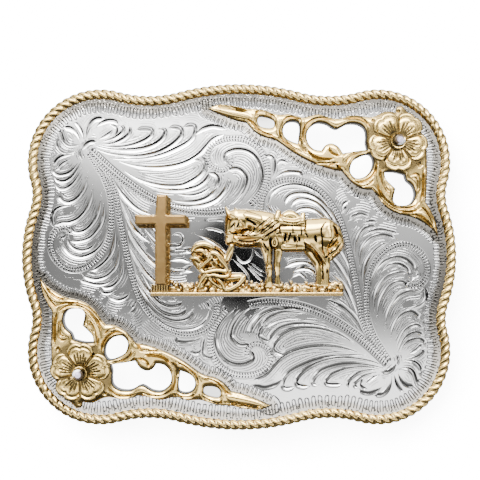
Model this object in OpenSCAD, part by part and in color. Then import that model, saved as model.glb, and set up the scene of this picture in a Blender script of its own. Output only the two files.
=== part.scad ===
// Western belt buckle: a domed silver plate with a rope edge, two pierced gold corners
// with a flower and a stone each, and a gold cross, kneeling rider and horse on a strip of ground.
// It lies face up, on the belt loop and the hook of its back.
// All sizes in millimetres: X to the right and Y up across the face, Z out of the face.

/* [Plate] */
// Width over the rope edge
buckle_w = 101.6; // [96:0.2:108]
// Height over the rope edge
buckle_h = 80.6; // [78:0.2:84]
// Thickness of the plate
plate_t = 2.2; // [1.5:0.1:2.6]
// Radius of the dome of the face
dome_r = 300; // [240:10:500]
// Height of the middle of the face over the surface that the buckle lies on
face_z = 12; // [11.4:0.1:14]

/* [Edge outline] */
// Radius of each round corner
corner_r = 17; // [15:0.5:18]
// Radius of the bulge of the upper and lower edge
top_bulge_r = 55; // [45:1:70]
// Radius of the hollow beside that bulge
top_hollow_r = 26; // [16:1:32]
// Radius of the bulge of the left and right edge
side_bulge_r = 34; // [28:1:40]
// Radius of the hollow beside that bulge
side_hollow_r = 10; // [9:0.5:18]

/* [Rope edge] */
// Thickness of the rope
rope_d = 2.6; // [2.2:0.1:3]
// Number of strands that show round the edge
rope_lobes = 176; // [140:2:200]
// Depth of the furrow between two strands, as a share of the rope's radius
rope_furrow = 0.3; // [0.1:0.05:0.4]

/* [Corner work] */
// Thickness of a pierced corner
filigree_t = 1.1; // [0.8:0.1:1.4]
// Height of the ribs on it
rib_h = 0.4; // [0.2:0.1:0.6]
// Width of a rib at its widest
rib_w = 0.8; // [0.5:0.1:1]
// Radius of the flower
flower_r = 6.9; // [6.2:0.1:7]
// Diameter of the stone
stone_d = 2.5; // [2:0.1:2.8]

/* [Figures] */
// Height of the cross over the face
cross_h = 3.6; // [3:0.1:4.5]
// Width of its bars
cross_bar = 2.5; // [2:0.1:3]
// How far its rough sides spread to the right and downwards
cross_spread = 0.8; // [0.2:0.1:1.2]
// Height of the strip of ground over the face
ground_h = 2.4; // [2:0.1:3]

/* [Back] */
// Diameter of the wire of the belt loop
loop_wire = 3.5; // [3:0.1:3.6]
// Inside width of the belt loop, for a strap of 38
loop_inside = 40; // [38:0.5:41]
// How far the loop's bar lies from the tube that holds the loop
loop_reach = 15; // [12:0.5:16]
// Diameter of the hook
hook_d = 3.2; // [3:0.1:3.6]
// Straight length of the hook's lip
hook_lip = 4.5; // [4:0.1:5]

/* [Hidden] */

// Solder gap between two pieces
gap = 0.05;
// Fineness of the dome
dome_fn = 240;
// Fineness of the petals' domed tops
petal_fn = 96;
// Fineness of round bars
round_fn = 48;
// Steps between two given points of a smooth curve
curve_steps = 4;
// Degrees from one point to the next on an arc of the edge
arc_step = 4;

// Colours of the two metals and of the stones
gold = [0.86, 0.66, 0.36];
silver = [0.80, 0.80, 0.80];
clear = [0.92, 0.94, 0.98];

// Centre of the upper right corner's arc, given by how far it lies in from the two edges
corner_inset = [18.3, 18.1];
corner_centre = [buckle_w / 2, buckle_h / 2] - corner_inset;
// Height of the dome's centre
dome_z = face_z - dome_r;
// Radius of the rope
rope_r = rope_d / 2;
// The rope's middle lies this far under the face
rope_drop = 0.35;
// Sides and rings of the rope's mesh
rope_sides = 7;
rings_per_lobe = 3;

// The edge outline is a ring of arcs that meet in line. A row is one arc:
// its centre, its radius, the angle where it starts and the angle it turns through.
function crossing(a, ra, b, rb, side) =
    let (d = norm(b - a), along = (ra * ra - rb * rb + d * d) / (2 * d),
        up = sqrt(ra * ra - along * along), u = (b - a) / d)
    a + along * u + side * up * [-u[1], u[0]];
function bearing(a, b) = atan2(b[1] - a[1], b[0] - a[0]);

side_centre = [buckle_w / 2 - side_bulge_r, 0];
top_centre = [0, buckle_h / 2 - top_bulge_r];
side_hollow = crossing(side_centre, side_bulge_r + side_hollow_r,
    corner_centre, corner_r + side_hollow_r, -1);
top_hollow = crossing(corner_centre, corner_r + top_hollow_r,
    top_centre, top_bulge_r + top_hollow_r, -1);

a_side = bearing(side_centre, side_hollow);
a_corner_in = bearing(corner_centre, side_hollow);
a_corner_out = bearing(corner_centre, top_hollow);
a_top = bearing(top_centre, top_hollow);

// The upper right quarter, from the middle of the right edge to the middle of the upper edge
function quarter(inset) = [
    [side_centre, side_bulge_r - inset, 0, a_side],
    [side_hollow, side_hollow_r + inset, a_side + 180, a_corner_in - a_side],
    [corner_centre, corner_r - inset, a_corner_in, a_corner_out - a_corner_in],
    [top_hollow, top_hollow_r + inset, a_corner_out + 180, a_top - a_corner_out],
    [top_centre, top_bulge_r - inset, a_top, 90 - a_top]];
function flip_x(rows) = [for (i = [len(rows) - 1:-1:0]) let (a = rows[i])
    [[-a[0][0], a[0][1]], a[1], 180 - a[2] - a[3], a[3]]];
function half_turn(rows) = [for (a = rows) [-a[0], a[1], a[2] + 180, a[3]]];
function upper(inset) = concat(quarter(inset), flip_x(quarter(inset)));
function ring(inset) = concat(upper(inset), half_turn(upper(inset)));

function on_arc(a, share) = a[0] + a[1] * [cos(a[2] + share * a[3]), sin(a[2] + share * a[3])];
function arc_count(a) = max(2, ceil(abs(a[3]) / arc_step));
function edge_points(inset) = [for (a = ring(inset)) let (n = arc_count(a))
    for (i = [0:n - 1]) on_arc(a, i / n)];
function arc_length(a) = a[1] * abs(a[3]) * PI / 180;
function ring_length(rows, upto) =
    upto == 0 ? 0 : ring_length(rows, upto - 1) + arc_length(rows[upto - 1]);
// The point at a distance along the ring, and the direction out of the ring there
function along_ring(rows, s, i = 0) = s > arc_length(rows[i]) && i < len(rows) - 1
    ? along_ring(rows, s - arc_length(rows[i]), i + 1)
    : let (a = rows[i], share = s / arc_length(a), p = on_arc(a, share), hollow = a[3] < 0 ? -1 : 1)
        [p, hollow * (p - a[0]) / a[1]];

// A smooth closed curve through rows of x, y and a 1 where the curve has a sharp corner
function point(row) = [row[0], row[1]];
function leaving(rows, i) = let (n = len(rows), here = rows[i], next = rows[(i + 1) % n],
    last = rows[(i + n - 1) % n]) (point(next) - point(here[2] == 1 ? here : last)) / 2;
function arriving(rows, i) = let (n = len(rows), here = rows[i], next = rows[(i + 1) % n],
    last = rows[(i + n - 1) % n]) (point(here[2] == 1 ? here : next) - point(last)) / 2;
function blend(p, q, m, k, t) = (2 * t ^ 3 - 3 * t ^ 2 + 1) * p + (t ^ 3 - 2 * t ^ 2 + t) * m
    + (3 * t ^ 2 - 2 * t ^ 3) * q + (t ^ 3 - t ^ 2) * k;
function closed_curve(rows) = [for (i = [0:len(rows) - 1]) let (j = (i + 1) % len(rows))
    for (s = [0:curve_steps - 1]) blend(point(rows[i]), point(rows[j]),
        leaving(rows, i), arriving(rows, j), s / curve_steps)];

// A smooth open line through points, and the strip along it that narrows to both ends
function line_slope(pts, i) = i == 0 ? (pts[1] - pts[0]) / 2
    : i == len(pts) - 1 ? (pts[i] - pts[i - 1]) / 2 : (pts[i + 1] - pts[i - 1]) / 2;
function open_curve(pts) = [for (i = [0:len(pts) - 2])
    for (s = [0:curve_steps - (i == len(pts) - 2 ? 0 : 1)])
        blend(pts[i], pts[i + 1], line_slope(pts, i), line_slope(pts, i + 1), s / curve_steps)];
function strip_side(line, width, side) = [for (i = [1:len(line) - 2])
    let (u = line[i + 1] - line[i - 1], taper = sqrt(sin(180 * i / (len(line) - 1))))
    line[i] + side * width / 2 * taper * [-u[1], u[0]] / norm(u)];
function reversed(list) = [for (i = [len(list) - 1:-1:0]) list[i]];
function strip(pts, width) = let (line = open_curve(pts))
    concat([line[0]], strip_side(line, width, 1), [line[len(line) - 1]],
        reversed(strip_side(line, width, -1)));

// The right corner piece: x, y, and 1 at a sharp corner
filigree_outline = [
    [-7.3, 34.4, 1], [-5.0, 35.4, 0], [-1.5, 35.2, 0], [2.0, 34.5, 0], [5.5, 34.2, 0], [8.8, 33.2, 0],
    [12.0, 33.2, 0], [14.9, 32.5, 0], [18.5, 33.2, 0], [22.8, 32.2, 0], [26.5, 33.1, 0], [30.2, 32.6, 0],
    [32.0, 33.0, 1], [34.2, 34.0, 0], [36.4, 33.8, 1], [36.8, 35.0, 0], [38.0, 35.3, 1], [39.0, 34.2, 0],
    [40.4, 33.0, 1], [42.3, 31.6, 0], [42.6, 29.0, 1], [43.7, 27.4, 0], [43.8, 24.0, 0], [43.8, 18.0, 0],
    [43.5, 12.8, 1], [44.7, 10.8, 0], [45.9, 8.0, 0], [46.4, 4.7, 1], [44.9, 6.5, 0], [43.0, 7.9, 0],
    [40.5, 9.2, 0], [37.8, 9.8, 0], [35.4, 10.7, 0], [33.4, 12.4, 0], [32.0, 14.4, 0], [30.9, 15.6, 1],
    [28.6, 15.8, 0], [26.4, 17.1, 0], [24.9, 18.7, 0], [23.8, 19.9, 1], [21.6, 20.3, 0], [18.4, 21.3, 0],
    [15.5, 22.6, 0], [12.5, 24.3, 0], [9.9, 26.2, 0], [8.2, 27.2, 0], [5.4, 28.0, 0], [3.4, 29.3, 0],
    [1.8, 31.1, 1], [-0.8, 31.7, 0], [-4.0, 32.9, 0]];
// The small opening near its left end shows the plate below
blind_opening = [[4.3, 31.6, 0], [4.7, 32.5, 0], [6.2, 32.4, 0], [7.8, 31.8, 0], [8.2, 31.0, 0],
    [7.8, 30.1, 0], [6.2, 30.0, 0], [4.8, 30.5, 0]];
// The four windows go through the plate as well
windows = [
    [[10.2, 29.2, 0], [10.7, 30.9, 0], [12.1, 31.6, 0], [13.7, 31.3, 0], [14.1, 30.0, 0], [13.9, 27.8, 0],
        [13.7, 26.3, 1], [12.0, 26.9, 0], [10.7, 27.8, 0]],
    [[15.7, 28.0, 0], [16.3, 29.9, 0], [18.0, 31.2, 0], [20.2, 31.0, 0], [22.6, 29.8, 0], [25.2, 31.0, 0],
        [27.8, 30.9, 0], [29.3, 29.8, 0], [29.6, 28.0, 0], [29.5, 26.6, 0], [29.9, 25.0, 1],
        [27.2, 24.6, 0], [24.1, 24.1, 1], [23.0, 25.7, 0], [21.4, 26.4, 0], [20.0, 25.9, 0],
        [19.2, 24.7, 1], [17.5, 25.0, 0], [16.2, 26.2, 0]],
    [[25.8, 20.4, 0], [26.5, 22.3, 0], [28.5, 23.5, 0], [30.2, 23.9, 0], [31.1, 22.9, 0], [31.2, 21.4, 0],
        [30.5, 19.8, 0], [29.0, 18.6, 0], [27.2, 18.3, 0], [26.1, 19.2, 0]],
    [[33.8, 19.8, 1], [36.2, 19.8, 0], [38.6, 19.2, 1], [39.1, 17.8, 0], [40.4, 16.6, 0], [41.0, 15.0, 0],
        [40.8, 13.5, 0], [39.9, 12.4, 0], [38.4, 12.0, 0], [36.8, 12.1, 0], [35.9, 13.0, 0],
        [36.0, 14.4, 0], [36.4, 15.9, 1], [35.2, 17.0, 0], [34.1, 18.2, 0]]];
// The raised ribs of its scrolls
ribs = [
    [[-6.2, 34.4], [-2.5, 34.6], [1.0, 33.4], [4.5, 33.5], [8.6, 32.4], [9.2, 30.6]],
    [[2.6, 30.8], [4.2, 29.2], [6.6, 28.6], [8.6, 28.4]],
    [[13.9, 32.1], [11.6, 32.5], [9.8, 31.2], [9.4, 28.8], [10.8, 26.7], [13.6, 24.9]],
    [[22.0, 31.3], [19.4, 32.1], [16.6, 31.3], [15.0, 29.2], [15.0, 26.6], [16.6, 24.4], [19.4, 23.6],
        [22.4, 23.6]],
    [[23.6, 31.0], [26.4, 32.0], [29.2, 31.2], [30.4, 29.4]],
    [[13.6, 23.9], [17.0, 22.3], [20.4, 21.6], [23.4, 21.9]],
    [[30.6, 24.6], [27.2, 24.1], [25.0, 22.6], [24.9, 20.2], [26.6, 17.8], [29.2, 17.3], [31.2, 18.4]],
    [[33.0, 22.2], [32.4, 19.0], [32.9, 16.0], [34.6, 12.9], [37.4, 11.1], [40.4, 11.2], [42.2, 13.2],
        [42.2, 16.0], [40.6, 18.2]],
    [[42.6, 12.2], [44.2, 9.8], [45.6, 6.8]],
    [[35.0, 17.0], [35.3, 14.8], [35.4, 12.9]]];

// All that lies under a dome at a height over the face
module dome(height) {
    translate([0, 0, dome_z]) sphere(dome_r + height, $fn = dome_fn);
}

// The space between two heights over the face, cut to the outline of the children
module between_domes(low, high) {
    difference() {
        intersection() {
            linear_extrude(face_z + high + 1) children();
            dome(high);
        }
        dome(low);
    }
}

module windows_2d() {
    for (w = windows) polygon(closed_curve(w));
}

module plate() {
    color(silver) between_domes(-plate_t, 0) difference() {
        polygon(edge_points(rope_d + gap));
        windows_2d();
        rotate(180) windows_2d();
    }
}

// Two strands twisted once in every two lobes, as one closed tube
module rope_edge() {
    sides = rope_sides;
    rings = rings_per_lobe * rope_lobes;
    rows = ring(rope_r);
    whole = ring_length(rows, len(rows));
    function height(p) = dome_z + sqrt(dome_r ^ 2 - p[0] ^ 2 - p[1] ^ 2) - rope_drop;
    function reach(a) = rope_r * (1 - rope_furrow * (0.5 - 0.5 * cos(2 * a)));
    points = [for (i = [0:rings - 1])
        let (at = along_ring(rows, whole * i / rings), p = at[0], out = at[1],
            twist = 180 * rope_lobes * i / rings)
        for (k = [0:sides - 1]) let (a = 360 * k / sides, r = reach(a - twist))
            [p[0] + out[0] * r * cos(a), p[1] + out[1] * r * cos(a), height(p) + r * sin(a)]];
    faces = [for (i = [0:rings - 1]) let (j = (i + 1) % rings)
        for (k = [0:sides - 1]) let (l = (k + 1) % sides,
            a = i * sides + k, b = i * sides + l, c = j * sides + l, d = j * sides + k)
            each [[a, b, d], [b, c, d]]];
    color(gold) polyhedron(points, faces, convexity = 8);
}

// Middle of the flower
flower_at = [37.0, 27.0];
// Room between the flower and the ribs round it
flower_room = 0.15;
// How deep the ribs go into the corner piece that they stand on
rib_root = 0.1;

module filigree() {
    color(gold) {
        between_domes(gap, filigree_t) difference() {
            polygon(closed_curve(filigree_outline));
            polygon(closed_curve(blind_opening));
            windows_2d();
        }
        between_domes(filigree_t - rib_root, filigree_t + rib_h) difference() {
            for (r = ribs) polygon(strip(r, rib_w));
            translate(flower_at) circle(flower_r + flower_room, $fn = round_fn);
        }
    }
}

petals = 5;
// Height of a petal's domed top over the flower's back
petal_t = 1.3;
// Radius of that domed top
petal_dome_r = 9.4;
// Thickness of the metal round the stone, and height of the cup that it forms
cup_wall = 0.6;
cup_h = 1.9;
// The floor of the cup lies this far over the flower's back
stone_seat = 0.8;
// One petal of a flower of radius 1, pointing along X, with a notch in the middle of its tip
petal_outline = [[0.20, -0.12, 1], [0.52, -0.35, 0], [0.81, -0.42, 0], [0.96, -0.25, 0], [0.91, 0, 1],
    [0.96, 0.25, 0], [0.81, 0.42, 0], [0.52, 0.35, 0], [0.20, 0.12, 1]];
// The highest point of a petal, as a share of the flower's radius
petal_middle = 0.565;

// The flower is built flat at the middle of the face, then laid on the slope of the dome
module on_corner(height) {
    slope = asin(norm(flower_at) / dome_r);
    turn = atan2(flower_at[1], flower_at[0]);
    translate([0, 0, dome_z]) rotate(turn) rotate([0, slope, 0]) rotate(-turn)
        translate([0, 0, dome_r + height]) children();
}

module flower() {
    color(gold) on_corner(filigree_t + gap) difference() {
        union() {
            for (k = [0:petals - 1]) rotate(360 / petals * k - 90) intersection() {
                linear_extrude(petal_t + 1) polygon(flower_r * closed_curve(petal_outline));
                translate([petal_middle * flower_r, 0, petal_t - petal_dome_r])
                    rotate([0, 90, 0]) sphere(petal_dome_r, $fn = petal_fn);
            }
            cylinder(d = stone_d + 2 * cup_wall, h = cup_h, $fn = round_fn);
        }
        translate([0, 0, stone_seat]) cylinder(d = stone_d + 2 * gap, h = cup_h, $fn = round_fn);
    }
}

// The stone's facets in a round, the heights of its three parts, and the widths of its lowest
// and highest face as shares of its diameter
facets = 12;
pavilion_h = 0.7;
girdle_h = 0.2;
crown_h = 0.5;
point_share = 0.5;
table_share = 0.6;

module stone() {
    color(clear) on_corner(filigree_t + 2 * gap + stone_seat) {
        cylinder(d1 = point_share * stone_d, d2 = stone_d, h = pavilion_h, $fn = facets);
        translate([0, 0, pavilion_h]) cylinder(d = stone_d, h = girdle_h, $fn = facets);
        translate([0, 0, pavilion_h + girdle_h])
            cylinder(d1 = stone_d, d2 = table_share * stone_d, h = crown_h, $fn = facets);
    }
}

// The figures stand on the face, over the top of the strip of ground. The cross has a flat front,
// and sides that spread as they go down.
ground_line = -6.25;

module over_ground() {
    difference() {
        children();
        translate([-buckle_w / 2, -buckle_h / 2, 0])
            cube([buckle_w, ground_line + gap + buckle_h / 2, face_z + 2 * cross_h]);
    }
}

// Middle of the cross's arms
cross_at = [-17.9, 8.7];
// Lowest and highest point of the cross, and how far each arm reaches from its middle
cross_foot = -6.2;
cross_top = 14.4;
cross_reach = 5.9;
// The arms are a little thinner than the upright
arm_bar = cross_bar - 0.3;
// The face falls away to the left, so that the front lies this far under its full height
cross_fall = 0.5;
// Height of the cross's front
cross_front = face_z + cross_h - cross_fall;
// Thickness of the two slabs that a bar of the cross spans, and depth of the lower one
slab = 0.1;
slab_depth = 2;

module cross_bar_from(low, size) {
    spread = cross_spread * [0.8, -1];
    hull() {
        translate([low[0], low[1], cross_front - slab]) cube([size[0], size[1], slab]);
        translate([low[0] + spread[0], low[1] + spread[1], face_z - slab_depth])
            cube([size[0], size[1], slab]);
    }
}

module cross() {
    color(gold) over_ground() difference() {
        union() {
            cross_bar_from([cross_at[0] - cross_bar / 2, cross_foot],
                [cross_bar, cross_top - cross_foot]);
            cross_bar_from([cross_at[0] - cross_reach, cross_at[1] - arm_bar / 2],
                [2 * cross_reach, arm_bar]);
        }
        dome(gap);
    }
}

// The strip of ground: a flat kerb below, a bank behind it, and a row of mounds along the top
ground_left = -20.6;
ground_right = 24.2;
ground_low = -9.1;
kerb_w = 1.1;
// The bank and the mounds lie this far under the kerb's top
bank_drop = 0.6;
mound_drop = 0.5;
// The bank's ends lie this far in from the kerb's
bank_inset = 0.4;
mounds = 21;
mound_r = 0.95;

module ground() {
    start = ground_left + 1.5 * mound_r;
    pitch = (ground_right - mound_r - start) / mounds;
    color(gold) {
        between_domes(gap, ground_h) translate([ground_left, ground_low])
            square([ground_right - ground_left, kerb_w]);
        between_domes(gap, ground_h - bank_drop)
            translate([ground_left + bank_inset, ground_low + kerb_w / 2])
                square([ground_right - ground_left - 2 * bank_inset,
                    ground_line - mound_r - ground_low]);
        // The sines make each mound's height and radius a little different
        for (i = [0:mounds - 1]) between_domes(gap, ground_h - mound_drop + 0.3 * sin(137 * i))
            translate([start + pitch * i, ground_line - 1.2 * mound_r])
                circle(r = mound_r * (1 + 0.1 * sin(71 * i)), $fn = 7);
    }
}

// A figure is a chain of rounded limbs. A row is a limb from one end to the other: the x, y,
// height over the face and radius of its first end, then those of its second end.
module limb(row, fineness) {
    hull() {
        translate([row[0], row[1], face_z + row[2]]) sphere(row[3], $fn = fineness);
        translate([row[4], row[5], face_z + row[6]]) sphere(row[7], $fn = fineness);
    }
}

// Fineness of the stout limbs and of the slim ones
stout_fn = 12;
slim_fn = 8;

// Only what stands out of the face shows
module figure(stout, slim) {
    over_ground() difference() {
        union() {
            for (row = stout) limb(row, stout_fn);
            for (row = slim) limb(row, slim_fn);
        }
        dome(2 * gap);
    }
}

horse_body = [
    [9.8, 5.6, -0.6, 3.8, 18.2, 5.4, -0.6, 3.9],
    [19.4, 5.7, -0.5, 3.7, 20.4, 5.4, -0.4, 3.2],
    [7.6, 6.6, -0.2, 3.1, 1.0, 9.2, 0.2, 1.9],
    [-0.9, 9.2, 0.5, 1.8, -2.2, 3.9, 0.7, 1.0],
    [0.2, 8.2, 0.3, 1.7, -1.6, 6.0, 0.6, 1.3],
    [19.2, 4.6, 0.2, 2.5, 20.0, -0.8, 0.3, 1.0]];
horse_limbs = [
    [-2.7, 11.5, 0.6, 0.35, -1.2, 10.0, 0.6, 0.8],
    [7.0, 4.2, 0.5, 1.5, 6.9, -1.6, 0.6, 0.8],
    [6.9, -1.6, 0.6, 0.8, 7.0, -6.2, 0.6, 0.75],
    [8.9, 3.2, 0.2, 1.2, 8.7, -1.8, 0.3, 0.7],
    [8.7, -1.8, 0.3, 0.7, 9.0, -6.2, 0.3, 0.7],
    [20.0, -0.8, 0.3, 1.0, 20.3, -6.2, 0.5, 0.8],
    [17.0, 3.0, -0.2, 1.5, 18.8, -1.2, 0.1, 0.8],
    [18.8, -1.2, 0.1, 0.8, 18.9, -6.2, 0.2, 0.75],
    [22.6, 6.6, 0.2, 0.8, 23.2, 3.2, 0.3, 0.9],
    [23.2, 3.2, 0.3, 0.9, 21.7, -1.8, 0.2, 0.6],
    [8.9, 9.2, 0.6, 0.9, 9.0, 10.4, 0.9, 0.5],
    [14.6, 8.6, 0.6, 1.0, 14.8, 10.0, 0.9, 0.5],
    [10.6, 8.2, 1.6, 1.1, 13.6, 8.2, 1.6, 1.1],
    [10.8, 6.6, 2.2, 1.0, 13.6, 6.6, 2.2, 1.0],
    [8.8, 6.6, 2.2, 0.6, 8.9, 4.4, 2.2, 0.9],
    [-1.8, 4.6, 1.6, 0.35, 1.6, 3.2, 1.2, 0.35],
    [1.6, 3.2, 1.2, 0.35, 8.4, 8.4, 2.2, 0.35]];

module horse() {
    color(gold) figure(horse_body, horse_limbs);
}

rider_body = [
    [-3.2, -3.0, 0.4, 1.6, -4.8, 0.4, 0.6, 1.9],
    [-4.8, 0.4, 0.6, 1.9, -6.6, 1.7, 0.7, 1.4]];
rider_limbs = [
    [-8.6, 1.9, 1.0, 1.15, -8.9, 2.0, 1.0, 1.0],
    [-9.6, 1.0, 0.9, 0.45, -7.4, 3.4, 0.9, 0.5],
    [-9.6, 2.7, 1.0, 0.8, -8.8, 3.0, 1.0, 0.8],
    [-6.2, 1.2, 1.4, 0.85, -5.8, -1.4, 1.7, 0.75],
    [-5.8, -1.4, 1.7, 0.75, -9.0, -1.8, 1.7, 0.55],
    [-10.8, -1.4, 1.2, 0.45, -8.6, -2.2, 1.2, 0.5],
    [-3.0, -3.4, 1.0, 1.2, -8.3, -3.1, 1.3, 0.95],
    [-8.3, -3.3, 1.2, 0.9, -8.4, -6.4, 1.0, 0.7],
    [-8.4, -6.1, 1.0, 0.7, -9.8, -6.3, 1.0, 0.5],
    [-3.4, -3.8, 0.8, 1.2, -4.6, -6.2, 0.8, 0.9],
    [-4.6, -6.0, 0.8, 0.9, -0.6, -6.0, 0.7, 0.7],
    [-0.4, -6.2, 0.8, 0.7, 1.2, -4.8, 0.8, 0.5]];

module rider() {
    color(gold) figure(rider_body, rider_limbs);
}

// The back: a loop of wire that the strap's end folds round, held by a tube on the plate,
// and a hook for one of the holes of its other end
tube_at = [-8, 0, 6];
tube_d = 5;
// How far the tube reaches past the loop's arms at each end
tube_past = 0.5;
// The solder that joins the tube to the plate, and how far it goes into the tube
solder_w = 3.4;
solder_length = 28;
solder_in = 1.5;
// Radius of the loop's two corners
loop_bend = 4;
// Where the hook's post stands, the radius of its bend, and the round pad at its root
hook_at = 30;
hook_bend = 3;
pad_r = 3.2;
pad_low = 6.6;

// The children, cut off just under the plate
module under_plate() {
    intersection() {
        children();
        dome(-plate_t - gap);
    }
}

// A bar of wire along Y, and a quarter turn of it from X to Y
module bar_y(r, length) {
    rotate([90, 0, 0]) cylinder(r = r, h = length, center = true, $fn = round_fn);
}
module quarter_turn(bend, r) {
    rotate_extrude(angle = 90, $fn = round_fn) translate([bend, 0]) circle(r = r, $fn = round_fn);
}

module belt_loop() {
    r = loop_wire / 2;
    half = loop_inside / 2 + r;
    drop = tube_at[2] - r;
    span = norm([loop_reach, drop]);
    straight = half - loop_bend;
    color(silver) {
        translate(tube_at) rotate(180) rotate([0, asin(drop / span), 0]) {
            for (side = [-1, 1]) {
                translate([0, side * half, 0]) rotate([0, 90, 0])
                    cylinder(r = r, h = span - loop_bend, $fn = round_fn);
                translate([span - loop_bend, side * straight, 0]) rotate(side > 0 ? 0 : 270)
                    quarter_turn(loop_bend, r);
            }
            translate([span, 0, 0]) bar_y(r, 2 * straight);
            bar_y(tube_d / 2, 2 * (half + r + tube_past));
        }
        low = tube_at[2] + tube_d / 2 - solder_in;
        under_plate() translate([tube_at[0] - solder_w / 2, -solder_length / 2, low])
            cube([solder_w, solder_length, face_z - low]);
    }
}

module belt_hook() {
    r = hook_d / 2;
    color(silver) {
        under_plate() {
            translate([hook_at, 0, pad_low])
                cylinder(r = pad_r, h = face_z - pad_low, $fn = round_fn);
            translate([hook_at, 0, r + hook_bend])
                cylinder(r = r, h = face_z - r - hook_bend, $fn = round_fn);
        }
        translate([hook_at - hook_bend, 0, r + hook_bend]) rotate([90, 0, 0]) rotate(-90)
            quarter_turn(hook_bend, r);
        translate([hook_at - hook_bend, 0, r]) rotate([0, -90, 0])
            cylinder(r = r, h = hook_lip, $fn = round_fn);
        translate([hook_at - hook_bend - hook_lip, 0, r]) sphere(r, $fn = round_fn);
    }
}

plate();
rope_edge();
filigree();  // filigree_right
rotate(180) filigree();  // filigree_left
flower();  // flower_right
rotate(180) flower();  // flower_left
stone();  // stone_right
rotate(180) stone();  // stone_left
cross();
ground();
rider();
horse();
belt_loop();
belt_hook();
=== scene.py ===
"""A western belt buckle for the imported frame: engraved silver plate, rope edge, pierced gold
corners with flowers and stones, cross, kneeling rider and horse. Laid out as an add-on."""

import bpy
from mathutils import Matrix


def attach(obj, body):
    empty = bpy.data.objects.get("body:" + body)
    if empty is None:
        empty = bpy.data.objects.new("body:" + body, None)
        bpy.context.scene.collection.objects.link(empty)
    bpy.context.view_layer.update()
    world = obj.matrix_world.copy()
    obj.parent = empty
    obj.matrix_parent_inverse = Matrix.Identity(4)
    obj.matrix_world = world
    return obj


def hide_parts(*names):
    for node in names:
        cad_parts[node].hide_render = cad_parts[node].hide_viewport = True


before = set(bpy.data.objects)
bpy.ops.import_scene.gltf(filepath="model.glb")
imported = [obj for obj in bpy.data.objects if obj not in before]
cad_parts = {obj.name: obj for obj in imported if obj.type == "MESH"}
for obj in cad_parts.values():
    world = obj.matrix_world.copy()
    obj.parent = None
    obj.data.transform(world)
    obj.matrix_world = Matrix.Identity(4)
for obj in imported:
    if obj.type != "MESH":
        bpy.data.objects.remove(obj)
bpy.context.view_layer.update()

import copy
import math

import bpy
import numpy as np
from bpy.props import FloatProperty, FloatVectorProperty, IntProperty, PointerProperty
from mathutils import Vector
from mathutils.geometry import delaunay_2d_cdt
from mathutils.kdtree import KDTree

bl_info = {
    "name": "Western belt buckle",
    "version": (1, 0, 0),
    "blender": (4, 5, 0),
    "location": "View3D > Sidebar > Buckle",
    "description": "Models an engraved western belt buckle piece by piece",
    "category": "Object",
}

MM = 0.001

# ---------------------------------------------------------------- sizes shared with the solids
# All in millimetres, X to the right and Y up across the face, Z out of the face.
BUCKLE_W, BUCKLE_H = 101.6, 80.6
# Radii of the edge's arcs, and how far the corners' centres lie inside the sides and the top
CORNER_R, CORNER_INSET = 17.0, (18.3, 18.1)
SIDE_R, SIDE_HOLLOW_R = 34.0, 10.0
TOP_R, TOP_HOLLOW_R = 55.0, 26.0
FACE_Z = 12.0
DOME_R = 300.0
PLATE_T = 2.2
ROPE_D = 2.6
ROPE_DROP = 0.35
GAP = 0.05
FILIGREE_T = 1.1
FLOWER_AT = (37.0, 27.0)
STONE_D = 2.5
# The middle of a stone: it stands square to the dome, so a little outside the flower's foot
STONE_AT = (37.34, 27.25)

# The distance that stands for no line within reach
FAR = 9.0
# How many points the distances are worked out for at a time, for the memory's sake
BATCH = 4000
# The fine work of the plate: pitch of the beads and the hatching, pitch and length of the scallops
TICK_PITCH = 0.66
HATCH_PITCH = 0.56
SCALLOP_PITCH, SCALLOP_LENGTH = 0.92, 2.05


def dome(xy):
    """Height of the plate's smooth face over the floor."""
    r2 = (np.asarray(xy, float) ** 2).sum(-1)
    return FACE_Z - DOME_R + np.sqrt(DOME_R ** 2 - r2)


# ------------------------------------------------------------------------------ plain curves
def lengths(line):
    """How far along a line each of its points lies."""
    return np.concatenate([[0], np.cumsum(np.linalg.norm(np.diff(line, axis=0), axis=1))])


def ring(loop):
    """A closed loop with its first point again at its end."""
    return np.vstack([loop, loop[:1]])


def spread(values, share):
    """Values that are spread evenly along a line, read at shares of its length."""
    return np.interp(share, np.linspace(0, 1, len(values)), values)


def even(line, step):
    """A polyline with points an even distance apart."""
    length = lengths(line)
    count = max(2, int(round(length[-1] / step)) + 1)
    at = np.linspace(0, length[-1], count)
    return np.stack([np.interp(at, length, line[:, k]) for k in range(line.shape[1])], 1)


def hermite(p, q, m, k, steps):
    """Points of the cubic from p to q with slopes m and k, without its last point."""
    t = (np.arange(steps) / steps)[:, None]
    return ((2 * t ** 3 - 3 * t ** 2 + 1) * p + (t ** 3 - 2 * t ** 2 + t) * m
            + (3 * t ** 2 - 2 * t ** 3) * q + (t ** 3 - t ** 2) * k)


def open_line(points, step=0.5):
    """A smooth open line through points."""
    p = np.array(points, float)
    if len(p) == 2:
        return even(p, step)
    m = np.empty_like(p)
    m[1:-1] = (p[2:] - p[:-2]) / 2
    m[0] = 1.5 * (p[1] - p[0]) - 0.5 * m[1]
    m[-1] = 1.5 * (p[-1] - p[-2]) - 0.5 * m[-2]
    parts = [hermite(p[i], p[i + 1], m[i], m[i + 1], 12) for i in range(len(p) - 1)]
    return even(np.vstack(parts + [p[-1:]]), step)


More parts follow.
